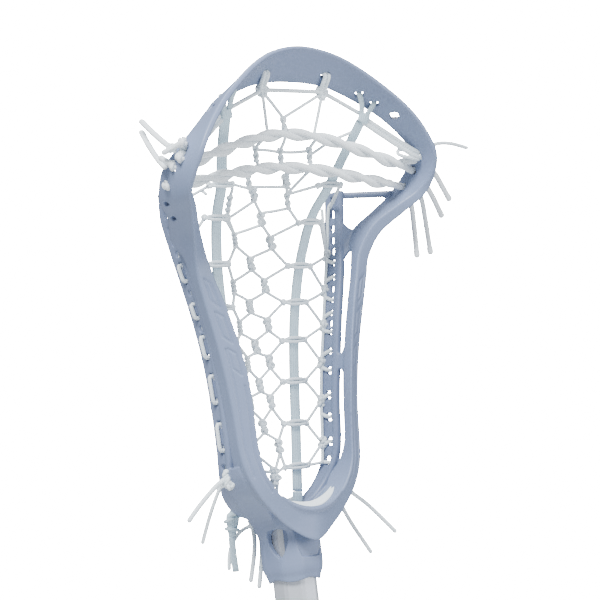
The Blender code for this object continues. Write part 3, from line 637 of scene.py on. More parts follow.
def cutter_box(centre, direction, size, reach):
    """A rounded straight cutter: width, then height, along a direction."""
    piece = Piece()
    direction = unit(np.array(direction, float))
    route = np.array([np.array(centre) - direction * reach / 2, np.array(centre),
                      np.array(centre) + direction * reach / 2])
    up = np.array((0, 0, 1.0))
    up = unit(up - direction * np.dot(up, direction))
    side = np.cross(up, direction)
    square = [side * sx * size[0] / 2 + up * sz * size[1] / 2
              for sx, sz in ((1, 1), (-1, 1), (-1, -1), (1, -1))]
    ring = np.array(rounded(square, min(size) * 0.18))
    piece.skin(route[:, None] + ring[None])
    return piece


def raw(piece, name):
    mesh = bpy.data.meshes.new(name)
    mesh.from_pydata(np.concatenate(piece.points).tolist(), [], piece.faces)
    made = bpy.data.objects.new(name, mesh)
    bpy.context.scene.collection.objects.link(made)
    shape = bmesh.new()
    shape.from_mesh(mesh)
    bmesh.ops.recalc_face_normals(shape, faces=shape.faces)
    bmesh.ops.triangulate(shape, faces=shape.faces)
    shape.to_mesh(mesh)
    shape.free()
    return made


def applied(thing):
    """The mesh of a thing with its modifiers in it."""
    bpy.context.view_layer.update()
    graph = bpy.context.evaluated_depsgraph_get()
    mesh = bpy.data.meshes.new_from_object(thing.evaluated_get(graph))
    thing.modifiers.clear()
    thing.data = mesh


def rail_rows(steps=8):
    half = np.array([[edge, forward] for edge, forward in BACK_RAIL], float)
    rows = smooth(np.concatenate([half, mirror(half[:-1])[::-1]]), steps)
    return rows


def rail_part():
    rows = rail_rows()
    sections = []
    profile = list(RAIL_PROFILE)
    outline = [(f, h) for f, h in profile] + [(f, -h) for f, h in reversed(profile)]
    for place in range(len(rows)):
        edge, forward = rows[place]
        before, later = rows[max(place - 1, 0)][0], rows[min(place + 1, len(rows) - 1)][0]
        forward = unit(forward)
        side = unit(np.cross(later - before, forward))
        sections.append([edge + forward * f + side * h for f, h in outline])
    piece = Piece()
    piece.skin(sections)
    return piece


def rail_at(z):
    rows = smooth(np.array([[edge, forward] for edge, forward in BACK_RAIL], float), 24)
    return rows[np.argmin(abs(rows[:, 0, 2] - z))]


def wall_at(z):
    rows = smooth(np.array(SIDES, float), 24)
    return rows[np.argmin(abs((rows[:, 2, 2] + rows[:, 3, 2]) / 2 - z))]


def web_part(low, high, dip_low, dip_high, sign, thickness=2.4):
    """A plate between the rail and the wall, its upper and lower edges drawn in as points."""
    sections = []
    for step in range(13):
        share = step / 12
        bow = abs(2 * share - 1) ** 1.3
        top = high + dip_high * bow
        bottom = low - dip_low * bow
        corners = []
        for z in (bottom, top):
            edge, forward = rail_at(z)
            wall = wall_at(z)
            near = edge + unit(forward) * 10.3
            far = 0.5 * (wall[2] + wall[3]) * 0.75 + 0.5 * (wall[0] + wall[1]) * 0.25
            middle = near + (far - near) * share
            across = unit(np.cross(far - near, (0, 0, 1.0))) * thickness / 2
            corners += [middle - across, middle + across]
            for corner in corners[-2:]:
                corner[2] = z
        sections.append([corners[0], corners[1], corners[3], corners[2]])
    sections = np.array(sections)
    if sign < 0:
        sections = mirror(sections)
    piece = Piece()
    piece.skin(sections)
    return piece


def strut_part(sign):
    ends = np.array(STRUT, float)
    route = smooth([ends[0] + (2.5, -1.2, -0.3), ends[0], ends[0] * 0.5 + ends[1] * 0.5, ends[1]], 6)
    if sign < 0:
        route = mirror(route)
    piece = Piece()
    piece.strand(route, 2.5, 12, 0.8, (0, 0, 1), dome=False)
    corner = np.array([(67.5, -3, 219.2), (65.4, -4.6, 217.8), (64.4, -5.6, 214), (63.8, -6.2, 208)], float)
    if sign < 0:
        corner = mirror(corner)
    piece.strand(smooth(corner, 5), np.linspace(1.6, 1.9, 16), 10)
    return piece


def gusset_part(sign):
    """The small web where the wall forks from the rail, with its two raised edges."""
    lip = np.array([(62.7, -6.8, 204), (65.8, -10.2, 198.5), (70.4, -14.9, 194.4)], float)
    foot = np.array([(58.9, -8.1, 180.5), (62.2, -11.2, 186), (67.4, -14.4, 190.4)], float)
    top, low = smooth(lip, 8), smooth(foot, 8)
    thick = np.array((0.72, 0.68, 0.0)) * 1.05
    plate = [[a - thick, a + thick, b + thick, b - thick] for a, b in zip(top, low)]
    piece = Piece()
    if sign < 0:
        top, low, plate = mirror(top), mirror(low), mirror(plate)
    piece.skin(plate)
    piece.strand(top, np.linspace(1.0, 1.5, len(top)), 10)
    piece.strand(low, np.linspace(1.0, 1.5, len(low)), 10)
    return piece


def fairing_part(sign):
    rows = smooth([[(front[0], front[1], z), (back[0], back[1], z)] for z, front, back in FAIRING], 4)
    sections = []
    for front, back in rows:
        bulge = 1.6 * min(1.0, max(0.0, (front[2] - 30) / 25))
        shares = np.linspace(0, 1, 6)
        points = [front + (back - front) * s + np.array((bulge * math.sin(math.pi * s), 0, 0))
                  for s in shares]
        outer = [p + (1.5, 0, 0) for p in points]
        inner = [p - (1.5, 0, 0) for p in reversed(points)]
        sections.append(outer + inner)
    sections = np.array(sections)
    if sign < 0:
        sections = mirror(sections)
    piece = Piece()
    piece.skin(sections)
    return piece


def ridge_part():
    """The rounded bead along the throat's front ridge."""
    ring = smooth(ring_corners(), 12, cyclic=True)
    middle = (len(SCOOP) + len(SIDES) - 1) * 12
    route = ring[middle - 26:middle + 27, 1] + (0, 0.6, 0.2)
    piece = Piece()
    piece.strand(route, np.sin(np.linspace(0.2, math.pi - 0.2, len(route))) * 1.3 + 0.6, 10)
    return piece


def socket_part():
    sections = []
    for z, side, front, back, cut in smooth(SOCKET, 5):
        corners = np.array([
            (side, back - cut, z), (side - cut, back, z), (cut - side, back, z), (-side, back - cut, z),
            (-side, front + cut, z), (cut - side, front, z), (side - cut, front, z), (side, front + cut, z)])
        ring = np.array(rounded(corners, 2.2))
        if z < 9:
            turn = np.arctan2(ring[:, 1], ring[:, 0])
            ring[:, 2] += (1.0 + 1.0 * np.cos(4 * turn)) * (1 - z / 9) ** 1.3
        sections.append(ring)
    piece = Piece()
    piece.skin(sections)
    return piece


def octagon_cutter(flats, low, high):
    half = flats / 2
    side = half * math.tan(math.pi / 8)
    ring = []
    for face in range(8):
        angle = face * math.pi / 4
        along = np.array((-math.sin(angle), math.cos(angle)))
        middle = np.array((math.cos(angle), math.sin(angle))) * half
        ring += [middle - along * (side - 1.2), middle + along * (side - 1.2)]
    ring = np.array(ring)
    piece = Piece()
    piece.skin([np.column_stack([ring, np.full(len(ring), z)]) for z in (low, (low + high) / 2, high)])
    return piece


def prism(outline, plane, low, high):
    """A cutter with a flat outline, along x for plane "x" and along y for plane "y"."""
    outline = np.array(outline, float)
    sections = []
    for value in (low, (low + high) / 2, high):
        filled = np.full(len(outline), value)
        if plane == "x":
            sections.append(np.column_stack([filled, outline]))
        else:
            sections.append(np.column_stack([outline[:, 0], filled, outline[:, 1]]))
    piece = Piece()
    piece.skin(sections)
    return piece


def head_cutters():
    """Cutters in groups, none of a group touching another of it."""
    holes = []
    sides = []
    for sign in (1, -1):
        for centre, direction, size in LACING_HOLES:
            flip = np.array((sign, 1, 1))
            outward = unit(np.array(direction, float)) * (7.4 if size[1] < 3 else 0)
            holes.append(cutter_box((centre + outward) * flip, np.array(direction) * flip, size, 16))
        for z, tall, wide in RAIL_HOLES:
            edge, forward = rail_at(z)
            centre = (edge + unit(forward) * HOLE_FORWARD) * np.array((sign, 1, 1))
            holes.append(cutter_box(centre, (1, 0, 0.12 * sign), (wide, tall), 9))
        window = smooth([(-0.6, 29.5), (-11, 29.9), (-11.6, 25.7), (-10.5, 19.1),
                         (-7.1, 14), (0.2, 21.3)], 3, True)
        low, high = sorted((sign * 11, sign * 24))
        sides.append(prism(window, "x", low, high))
    recess = [(-14.2, 31), (-11, 22.5), (-6.2, 13.6), (0, 13.2), (6.2, 13.6), (11, 22.5), (14.2, 31)]
    sides.append(prism(recess, "y", -18.4, -14.9))
    screw = Piece()
    screw.strand([(0, 7, 12), (0, 14, 12), (0, 22, 12)], 2.2, 24, dome=False)
    sides.append(screw)
    return holes, sides, [octagon_cutter(25.1, -8, 36.6)]


def grooves(points, normals):
    """How deep each place lies in an engraved line or a moulding mark."""
    depth = np.zeros(len(points))
    rows = smooth(np.array(SIDES, float), 10)
    heights = (rows[:, 0, 2] + rows[:, 1, 2]) / 2
    order = np.argsort(heights)

    def on_face(z, share):
        outer = np.array([np.interp(z, heights[order], rows[order, 0, k]) for k in range(3)])
        ridge = np.array([np.interp(z, heights[order], rows[order, 1, k]) for k in range(3)])
        return outer + (ridge - outer) * share

    lines = []
    frames_of = ((170, 154, 0.34, 0.62), (151.5, 134, 0.34, 0.66), (131, 116, 0.4, 0.68))
    for top, bottom, left, right in frames_of:
        lines.append([on_face(top, left), on_face(top - 3, right),
                      on_face(bottom, right), on_face(bottom + 4, left),
                      on_face(top, left)])
    lines.append([on_face(z, 0.3) for z in (131, 115, 100, 85, 72, 60)])
    lines.append([on_face(z, 0.72) for z in (110, 95, 80, 68, 58, 50)])
    for line in lines:
        fine = even(line, 0.25, 8) if len(line) > 5 else np.concatenate(
            [np.linspace(a, b, 60) for a, b in zip(line, line[1:])])
        for sign in (1, -1):
            track = fine * np.array((sign, 1, 1))
            low, high = track.min(axis=0) - 1.5, track.max(axis=0) + 1.5
            near = np.where(((points > low) & (points < high)).all(axis=1))[0]
            if not len(near):
                continue
            best = np.full(len(near), 9.0)
            for start in range(0, len(track), 40):
                part = track[start:start + 40]
                gap = np.linalg.norm(points[near][:, None] - part[None], axis=2).min(axis=1)
                best = np.minimum(best, gap)
            depth[near] = np.maximum(depth[near], np.exp(-(best / 0.6) ** 2))
    return depth


def head():
    ring = smooth(ring_corners(), 10, cyclic=True)
    base = Piece()
    base.skin([rounded(list(section), 1.1) for section in ring], closed=True)
    body = raw(base, "head_moulding")
    parts = [rail_part(), socket_part(), ridge_part()]
    for sign in (1, -1):
        parts += [strut_part(sign), gusset_part(sign), fairing_part(sign)]
        parts.append(web_part(low=118, high=126, dip_low=5, dip_high=7, sign=sign))
    made = [raw(piece, "addition_%d" % k) for k, piece in enumerate(parts)]
    joined = join_raw([body] + made, "head_moulding")
    shell = joined.modifiers.new("shell", "REMESH")
    shell.mode = "VOXEL"
    shell.voxel_size = 0.5
    applied(joined)
    cutters = []
    for number, group in enumerate(head_cutters()):
        cutter = join_raw([raw(piece, "cutter") for piece in group], "cutters_%d" % number)
        change = joined.modifiers.new("cut", "BOOLEAN")
        change.operation = "DIFFERENCE"
        change.solver = "MANIFOLD"
        change.object = cutter
        cutters.append(cutter)
    applied(joined)
    for cutter in cutters:
        bpy.data.objects.remove(cutter, do_unlink=True)
    shell = joined.modifiers.new("shell", "REMESH")
    shell.mode = "VOXEL"
    shell.voxel_size = 0.5
    soften = joined.modifiers.new("soften", "SMOOTH")
    soften.factor = 0.5
    soften.iterations = 4
    applied(joined)
    finish_head(joined)


def join_raw(things, name):
    points, faces, total = [], [], 0
    for thing in things:
        mesh = thing.data
        co = np.empty(len(mesh.vertices) * 3)
        mesh.vertices.foreach_get("co", co)
        points.append(co.reshape(-1, 3))
        faces += [tuple(total + v for v in poly.vertices) for poly in mesh.polygons]
        total += len(mesh.vertices)
    mesh = bpy.data.meshes.new(name)
    mesh.from_pydata(np.concatenate(points).tolist(), [], faces)
    for thing in things:
        bpy.data.objects.remove(thing, do_unlink=True)
    made = bpy.data.objects.new(name, mesh)
    bpy.context.scene.collection.objects.link(made)
    return made


def finish_head(thing):
    mesh = thing.data
    count = len(mesh.vertices)
    co = np.empty(count * 3)
    normals = np.empty(count * 3)
    mesh.vertices.foreach_get("co", co)
    mesh.vertex_normals.foreach_get("vector", normals)
    co, normals = co.reshape(-1, 3), normals.reshape(-1, 3)
    depth = grooves(co, normals)
    co = co - normals * depth[:, None] * 0.62
    co = co * MM
    co[:, 2] += BASE
    mesh.vertices.foreach_set("co", co.ravel())
    mesh.update()
    mesh.materials.clear()
    mesh.materials.append(PLASTIC)
    mesh.shade_smooth()
    thing.name = "head"
    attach(thing, "stick")
    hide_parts("head_frame")


# ---------------------------------------------------------------- net, strings and straps

def runner_at(z, sign=1):
    place = by_height(RUNNER, z)
    return place * np.array((sign, 1, 1))


def net_place(x, z):
    """A place on the pocket's hanging surface."""
    inner = by_height(RUNNER, min(z, 255))
    middle = np.array(NET_MIDDLE, float)
    deep = np.interp(z, middle[:, 0], middle[:, 1])
    share = min(abs(x) / inner[0], 1.0)
    y = inner[1] + (deep - inner[1]) * (1 - share ** 2)
    if abs(x) > inner[0] and z < 205:
        outer = by_height(SIDE_STRING, min(z, 199.5))
        far = min((abs(x) - inner[0]) / max(outer[0] - inner[0], 1), 1)
        y = inner[1] + (outer[1] - inner[1]) * far
    return np.array((x, y, z))


def link(piece, a, b, radius=1.0):
    """A taut strand between two places, eased a little off straight."""
    a, b = np.array(a, float), np.array(b, float)
    middle = (a + b) / 2 + np.array((RANDOM.normal(0, 0.15), 0, RANDOM.normal(0, 0.15)))
    piece.strand(even([a, middle, b], 1.6), radius, 8)


def lump(piece, centre, size, radius, turn, lobes=3):
    """A tight knot: one closed strand wound over itself, turned to its own angle."""
    t = np.linspace(0, 2 * np.pi, 40, endpoint=False)
    reach = size * (1 + 0.45 * np.cos(lobes * t))
    knot = np.column_stack([reach * np.cos(2 * t), size * 0.75 * np.sin(lobes * t), reach * np.sin(2 * t)])
    spin = Matrix.Rotation(turn, 3, "Y") @ Matrix.Rotation(RANDOM.uniform(-0.5, 0.5), 3, "X")
    knot = knot @ np.array(spin).T
    piece.strand(np.array(centre) + knot, radius, 8, closed=True)


def double_knot(piece, centre):
    """Two stacked knots with a short waist between them."""
    centre = np.array(centre, float)
    lean = unit(np.array((RANDOM.uniform(0.05, 0.3), 0, -1.0)))
    for shift in (-1.9, 1.9):
        lump(piece, centre + lean * shift, 1.45, 1.0, RANDOM.uniform(0, 6.28))
    piece.strand([centre - lean * 3, centre, centre + lean * 3], 1.5, 8)


def twist(piece, top, bottom, radius=1.02, swing=1.0, turns=1.5):
    """Two strands wound round each other from one place to another."""
    top, bottom = np.array(top, float), np.array(bottom, float)
    along = bottom - top
    t = np.linspace(0, 1, max(10, int(np.linalg.norm(along) / 0.9)))
    side = unit(np.cross(along, (0, 1, 0)))
    other = unit(np.cross(along, side))
    flare = 0.2
    open_out = swing * (1 + flare * (2 * t - 1) ** 4)
    for phase in (0, math.pi):
        angle = phase + 2 * np.pi * turns * t
        route = top + along * t[:, None] + (side * np.cos(angle)[:, None]
                                            + other * np.sin(angle)[:, None]) * open_out[:, None]
        piece.strand(route, radius, 8)


def wrap(piece, z, sign):
    """The mesh taken round a runner: two strands in front and one behind."""
    centre = runner_at(z, sign)
    x, y = centre[0], centre[1]
    left = np.array((x - 8.6, y + 0.4, z + RANDOM.uniform(-0.5, 0.5)))
    right = np.array((x + 8.6, y + 0.4, z + RANDOM.uniform(-0.5, 0.5)))
    for shift, front in ((1.0, -1.8), (-1.0, -1.8), (0.2, 1.8)):
        route = [left, np.array((x - 5, y + front * 0.8, z + shift)),
                 np.array((x, y + front, z + shift * 1.15)),
                 np.array((x + 5, y + front * 0.8, z + shift)), right]
        piece.strand(even(route, 1.2), 1.0, 8)
    for end in (left, right):
        lump(piece, end, 0.95, 0.95, RANDOM.uniform(0, 6.28), 3)
    return left, right


K_KNOTS = ((10.6, 192.7), (8.3, 169), (10, 146.9), (9.9, 125.8), (8.4, 103), (9.5, 77.2))
C_KNOTS = ((0.8, 205.8), (-2.4, 181.5), (-2.8, 157.5), (0.6, 134.8), (1.7, 112.6), (1.1, 89.2))
T_KNOTS = ((-17.8, 194.5), (-16.2, 168.5), (-11.6, 146), (-6.5, 125.7), (-8, 103), (-9, 77))
RIGHT_WRAPS = (222.5, 203.3, 179.2, 158.7, 137.3, 113.8, 89.8, 65.2)
LEFT_WRAPS = (222.2, 205.8, 181, 157, 137.3, 113.8, 89.8, 65.2)
SIDE_KNOTS = ((56, 1, 184.9), (51.6, 1.3, 164.6), (46.6, 0.9, 144.1), (42.6, 1.9, 123.2), (39.5, 2.8, 101.3),
              (37.7, 4.1, 77.1))


def pocket():
    """The mesh: knots, twisted joints and the strands between them, wrapped round both runners."""
    middle = Piece()
    sides = {1: Piece(), -1: Piece()}
    rise = np.array((0, 0, 3.3))
    k_at = [net_place(*p) for p in K_KNOTS]
    c_at = [net_place(*p) for p in C_KNOTS]
    t_at = [net_place(*p) for p in T_KNOTS]
    right = [wrap(middle, z, 1) for z in RIGHT_WRAPS]
    left = [wrap(middle, z, -1) for z in LEFT_WRAPS]
    for knot in k_at[:5] + c_at:
        double_knot(middle, knot)
    for knot in t_at[:4]:
        twist(middle, knot + rise * 1.1, knot - rise * 1.1)
    for knot in (k_at[5], t_at[4], t_at[5]):
        double_knot(middle, knot)
    for k in range(6):
        link(middle, c_at[k] - rise, k_at[k] + rise)
        link(middle, c_at[k] - rise, t_at[k] + rise)
        link(middle, right[k + 1][0], k_at[k] + rise)
        link(middle, left[k + 1][1], t_at[k] + rise)
        if k < 5:
            link(middle, k_at[k] - rise, c_at[k + 1] + rise)
            link(middle, t_at[k] - rise, c_at[k + 1] + rise)
        link(middle, k_at[k] - rise, right[min(k + 2, 7)][0])
        link(middle, t_at[k] - rise, left[min(k + 2, 7)][1])
    cluster = np.array((0.0, 6.0, 61.0))
    for shift in ((-1.6, 0, 3), (1.7, 0.5, 2.2), (-1.5, 0.3, -1.2), (1.6, -0.3, -1.6), (0, 0.6, -4.2)):
        lump(middle, cluster + shift, 1.25, 0.85, RANDOM.uniform(0, 6.28))
    link(middle, k_at[5] - rise, cluster + (1.6, 0, 4.5))
    link(middle, t_at[5] - rise, cluster + (-1.6, 0, 4.5))
    link(middle, right[7][0], cluster + (3, 0, 2))
    link(middle, left[7][1], cluster + (-3, 0, 2))
    for x in (-1.3, 1.4):
        middle.strand(even([cluster + (x, 0, -4), (x * 1.2, 8, 52), (x * 1.4, 10.5, 46.5)], 1.5), 1.0, 8)
    upper_mesh(middle, right, left, k_at, c_at, t_at, rise)
    for sign, wraps, column in ((1, right, 1), (-1, left, 0)):
        piece = sides[sign]
        knots = [np.array(p) * (sign, 1, 1) for p in SIDE_KNOTS]
        knots.append(np.array((sign * 36.8, 5, 66)))
        for k in range(2, 8):
            link(piece, wraps[k][column], knots[k - 2])
            link(piece, wraps[k][column], knots[k - 1])
        link(piece, wraps[0][column], (sign * 61, -1.5, 213))
        link(piece, wraps[1][column], knots[0])
    middle.make("mesh_middle", FINE_CORD, "string_nylon", ("net_middle",))
    sides[1].make("mesh_right", FINE_CORD, "string_nylon", ("net_right",))
    sides[-1].make("mesh_left", FINE_CORD, "string_nylon", ("net_left",))


def upper_mesh(piece, right, left, k_at, c_at, t_at, rise):
    """The mesh above the pocket, tied to the shooting laces and the string across the top."""
    k = np.array((14.5, -16.2, 214.3))
    t = np.array((-13.9, -19.6, 218))
    c = np.array((6.8, -25.2, 224.1))
    l = np.array((-21.4, -25.1, 224))
    between = [np.array(p, float) for p in ((-21.7, -33.2, 237.5), (-3, -32.9, 236.4), (18.9, -33.2, 237.2))]
    twist(piece, k + (0, 0, 4), k - (0, 0, 4), turns=1)
    double_knot(piece, t)
    double_knot(piece, c)
    twist(piece, l + (0, 0, 4), l - (0, 0, 4), turns=1)
    link(piece, k - (0, 0, 4), c_at[0] + rise)
    link(piece, k - (0, 0, 4), right[1][0])
    link(piece, k + (0, 0, 4), right[0][0])
    link(piece, c - (0, 0, 3), k + (0, 0, 4))
    link(piece, c - (0, 0, 3), t + (0, 0, 4))
    link(piece, t - (0, 0, 4), c_at[0] + rise)
    link(piece, t + (0, 0, 4), l - (0, 0, 4))
    link(piece, l - (0, 0, 4), left[0][1])
    twist(piece, (-31.4, -19.2, 216.6), (-27.7, -9.5, 205), turns=2)
    link(piece, t - (0, 0, 4), (-27.7, -9.5, 205))
    link(piece, (-27.7, -9.5, 205), t_at[0] + rise)
    link(piece, (-31.4, -19.2, 216.6), left[0][1])
    lower = [np.array((x, -35.3, 229.5 - abs(x) * 0.03)) for x in (-22, -13, 3, 7, 17)]
    link(piece, l + (0, 0, 4), lower[0])
    link(piece, c + (0, 0, 4), lower[3])
    link(piece, k + (0, 0, 4), lower[4])
    upper = [np.array((x, -41.2, z)) for x, z in ((-20, 245.6), (-4, 247.6), (19.5, 246))]
    for here, above in zip(between, upper):
        twist(piece, here + (0, -1.2, 4.5), here - (0, 0.6, 3.5), turns=1)
        link(piece, here + (0, -1.2, 4), above)
        link(piece, here - (0, 0.6, 3.5), (here[0], -35.3, 230.5))
    link(piece, between[0] + (0, 0, 3), between[1] + (0, 0, 3))
    link(piece, between[1] + (0, 0, 3), between[2] + (0, 0, 3))
    link(piece, between[2], (33.2, -37.3, 245.4))
    link(piece, (33.2, -37.3, 245.4), (47.5, -41.4, 250.1))
    fork = np.array((-3.7, -40.3, 257.4))
    twist(piece, fork, (-3.9, -40.8, 248.5), turns=1)
    for knot in ((-21.5, -45, 271.2), (24.1, -45, 271.2)):
        link(piece, knot, fork)
    link(piece, (-21.3, -45, 270.5), (-17, -40.5, 247.5))
    link(piece, (24, -45, 270.5), (17.4, -40.5, 246.5))
    loose = np.array([(-46.8, -13.1, 221.3), (-44.7, -14.5, 218.8), (-50, -17, 214), (-52.5, -14, 206)])
    link(piece, loose[0], loose[1])


def top_string():
    """The string across the top of the pocket, doubled through the scoop's slots at each knot."""
    piece = Piece()
    knots = [np.array(p, float)
             for p in ((-50, -46.5, 260), (-21.5, -45.2, 271.9), (24.1, -45.2, 271.9), (50, -46.5, 260))]
    for a, b in zip(knots, knots[1:]):
        link(piece, a, b, 1.3)
    for knot in knots[1:3]:
        for shift in ((-1.7, 0, 0.8), (1.7, 0.2, 0.3), (0.2, 0.4, -2.2)):
            lump(piece, knot + shift, 1.5, 1.05, RANDOM.uniform(0, 6.28))
        middle = math.copysign(23.1, knot[0])
        for x in (-1.35, 1.35):
            over = [(knot[0] + x, -46, 272.6), (middle + x, -48.8, 275.2), (middle + x, -51, 278),
                    (middle + x, -51.8, 280), (middle + x, -50.6, 281.4), (middle + x, -46.6, 284.6)]
            piece.strand(even(over, 1.2), 1.25, 10)
    for sign in (1, -1):
        slot = np.array((sign * 85, -53.2, 235.6))
        top = np.array((sign * 53, -45.2, 257))
        for lift in (-1.6, 1.4):
            route = [top + (0, 0, lift), (top + slot) / 2 + (0, 0.5, lift * 1.1), slot + (0, 0, lift),
                     slot + (sign * 7.5, 0.4, lift + 0.8)]
            piece.strand(even(route, 1.6), 1.5, 10)
        loop = [slot + (sign * 1, 0, -3.2), slot + (-sign * 8, 3, -0.8),
                slot + (-sign * 10.5, 4.4, 1.2), slot + (-sign * 8, 3.4, 3.0),
                slot + (sign * 1, 0, -0.4)]
        piece.strand(even(loop, 1.2), 1.15, 10)
        lump(piece, (sign * 96, -50, 237), 1.4, 1.1, 0.4)
    piece.make("top_string_fine", CORD, "string_nylon", ("top_string",))


def bottom_string():
    piece = Piece()
    half = [(22, 11.5, 48.5), (12, 13.5, 46), (0, 14.2, 45)]
    route = half + [tuple(mirror(p)) for p in half[-2::-1]]
    piece.strand(even(route, 1.5), 1.3, 10)
    for x in (-2.4, 2.6):
        lump(piece, (x, 14, 45.2), 1.5, 1.1, RANDOM.uniform(0, 6.28))
    for x, drop in ((-1.6, 35), (-5.4, 34.5)):
        piece.strand(even([(x, 14.5, 44), (x, 20, 44.5), (x, 24.5, 42), (x, 25, drop)], 1.5), 1.2, 10)
    lump(piece, (-3.6, 24.6, 35.8), 2.1, 1.25, 0.6)
    lump(piece, (-2.6, 24.4, 32.6), 1.6, 1.2, 1.9)
    piece.make("bottom_string_fine", CORD, "string_nylon", ("bottom_string",))


def side_strings():
    """The string down each back rail: a run inside, stitches through the holes and knots outside."""
    for name, sign in (("right", 1), ("left", -1)):
        piece = Piece()
        flip = np.array((sign, 1, 1))
        edge, forward = rail_at(215.5)
        start = edge + unit(forward) * HOLE_FORWARD
        run = [start + (1.5, 0, 0), start + (-3, 0.5, -1.5),
               (60.3, 1, 205), (58.6, 1.2, 195)] + list(SIDE_STRING[1:])
        piece.strand(even(np.array(run) * flip, 1.8), 1.05, 10)
        second = [(57, 1, 212), (56, 0.6, 203), (55.6, 0.6, 194), (56, 0.9, 186)]
        piece.strand(even(np.array(second) * flip, 1.8), 1.0, 10)
        for knot in SIDE_KNOTS:
            for shift in ((0.4, -0.3, 1.3), (0, 0.3, -1.5)):
                lump(piece, (np.array(knot) + shift) * flip, 1.35, 1.0, RANDOM.uniform(0, 6.28))
        for upper, lower, far in ((180.5, 172, 0), (159, 151, 0),
                                    (139.5, 129, 1), (118.3, 103.5, 1), (91.5, 77, 1)):
            one, two = (rail_at(z)[0] + unit(rail_at(z)[1]) * HOLE_FORWARD for z in (upper, lower))
            out = np.array((2.6, 0, 0))
            into = by_height(SIDE_STRING, upper + 2), by_height(SIDE_STRING, lower - 2)
            route = [into[0], one - out * 0.4, one + out,
                     (one + two) / 2 + out * 1.15, two + out, two - out * 0.4, into[1]]
            piece.strand(even(np.array(route) * flip, 1.4), 1.15, 10)
        last = np.array((39.6, -2.2, 64.5))
        piece.strand(even(np.array([(37.5, 5, 66), last, last + (3, 0, -1)]) * flip, 1.4), 1.15, 10)
        for shift in ((3, 0, -1), (3.4, -0.6, -4), (3.2, -1.2, -7)):
            lump(piece, (last + shift) * flip, 1.5, 1.15, RANDOM.uniform(0, 6.28))
        if sign > 0:
            ends = (np.array((43.5, -2, 52)), np.array((40.5, 1, 47)))
        else:
            ends = (np.array((45.5, -2, 60.5)), np.array((44.5, 3, 57)))
        for end in ends:
            piece.strand(even(np.array([last + (3.2, -1, -5), end]) * flip, 1.2), 1.2, 10)
        piece.make(name + "_side_string_fine", CORD, "string_nylon", (name + "_side_string",))


def runners():
    for name, sign in (("right", 1), ("left", -1)):
        piece = Piece()
        flip = np.array((sign, 1, 1))
        route = even(RUNNER, 2.0)
        strap(piece, route * flip, 7.8, 1.3)
        fold = even(np.array([(53, -48, 259.6), (52.2, -47.5, 257.2), (51.2, -46.3, 254.6)]), 1.0)
        strap(piece, fold * flip, 7.9, 2.2)
        for line in (
            [(50.4, -47.2, 257), (50.2, -48.6, 261), (49.2, -50.2, 266),
             (47.4, -51.2, 270.3), (48.6, -49.8, 272)],
            [(54.2, -47.2, 256), (54.8, -48.8, 259.5), (56.4, -51, 262.8),
             (57.4, -52.2, 265.3), (58.6, -50.9, 267)],
        ):
            strap(piece, even(np.array(line), 1.2) * flip, 3.8, 1.5)
        foot = even(np.array([(18.5, 9.2, 51), (18.2, 9.6, 46), (18, 10.2, 42)]), 1.5)
        strap(piece, foot * flip, 7.8, 1.3)
        if sign < 0:
            tie = even(np.array([(-17.6, 19.5, 41.5), (-17.6, 23, 41.6),
                                 (-17.5, 26, 39.5), (-17.4, 27.4, 36)]), 1.0)
            strap(piece, tie, 7.6, 1.5)
            knot = even(np.array([(-17.4, 25.4, 43.2), (-17.3, 26.6, 40),
                                  (-17.4, 27.6, 35.5), (-17.8, 28.2, 31)]), 0.8)
            spread = np.interp(np.linspace(0, 1, len(knot)),
                               (0, 0.12, 0.4, 0.8, 1), (3.0, 4.6, 4.5, 3.4, 2.7))
            piece.strand(knot, spread, 24, 0.62)
            for size, place, lean in ((4.9, (-17.4, 26.8, 39.6), 1.2), (3.7, (-17.7, 27.9, 33.6), -0.7)):
                turns = np.linspace(0, 2 * np.pi, 32, endpoint=False)
                hoop = np.column_stack([size * np.cos(turns), size * 0.66 * np.sin(turns),
                                        lean * np.cos(turns + 0.4)])
                piece.strand(hoop + place, 1.15, 12, 0.9, closed=True)
        else:
            tie = even(np.array([(17.6, 19.5, 41.5), (17.6, 23, 41.2),
                                 (17.5, 24.4, 38), (17.4, 22.6, 35)]), 1.0)
            strap(piece, tie, 7.6, 1.5)
        piece.make(name + "_runner_strap", STRAP, "runner_webbing", (name + "_runner",))


def strap(piece, route, width, thickness):
    """A flat woven strap with rounded edges, its flat side to the pocket."""
    route = np.array(route, float)
    tangent = unit(np.gradient(route, axis=0))
    across = unit(np.array((1.0, 0, 0)) - tangent * tangent[:, :1])
    through = np.cross(tangent, across)
    half, thick = width / 2, thickness / 2
    outline = [(-half, 0), (-half + 0.3, -thick * 0.75), (-half + 1, -thick),
               (0, -thick * 1.05), (half - 1, -thick),
               (half - 0.3, -thick * 0.75), (half, 0), (half - 0.3, thick * 0.75),
               (half - 1, thick), (0, thick * 1.05),
               (-half + 1, thick), (-half + 0.3, thick * 0.75)]
    piece.skin([[p + a * s + n * t for s, t in outline] for p, a, n in zip(route, across, through)])


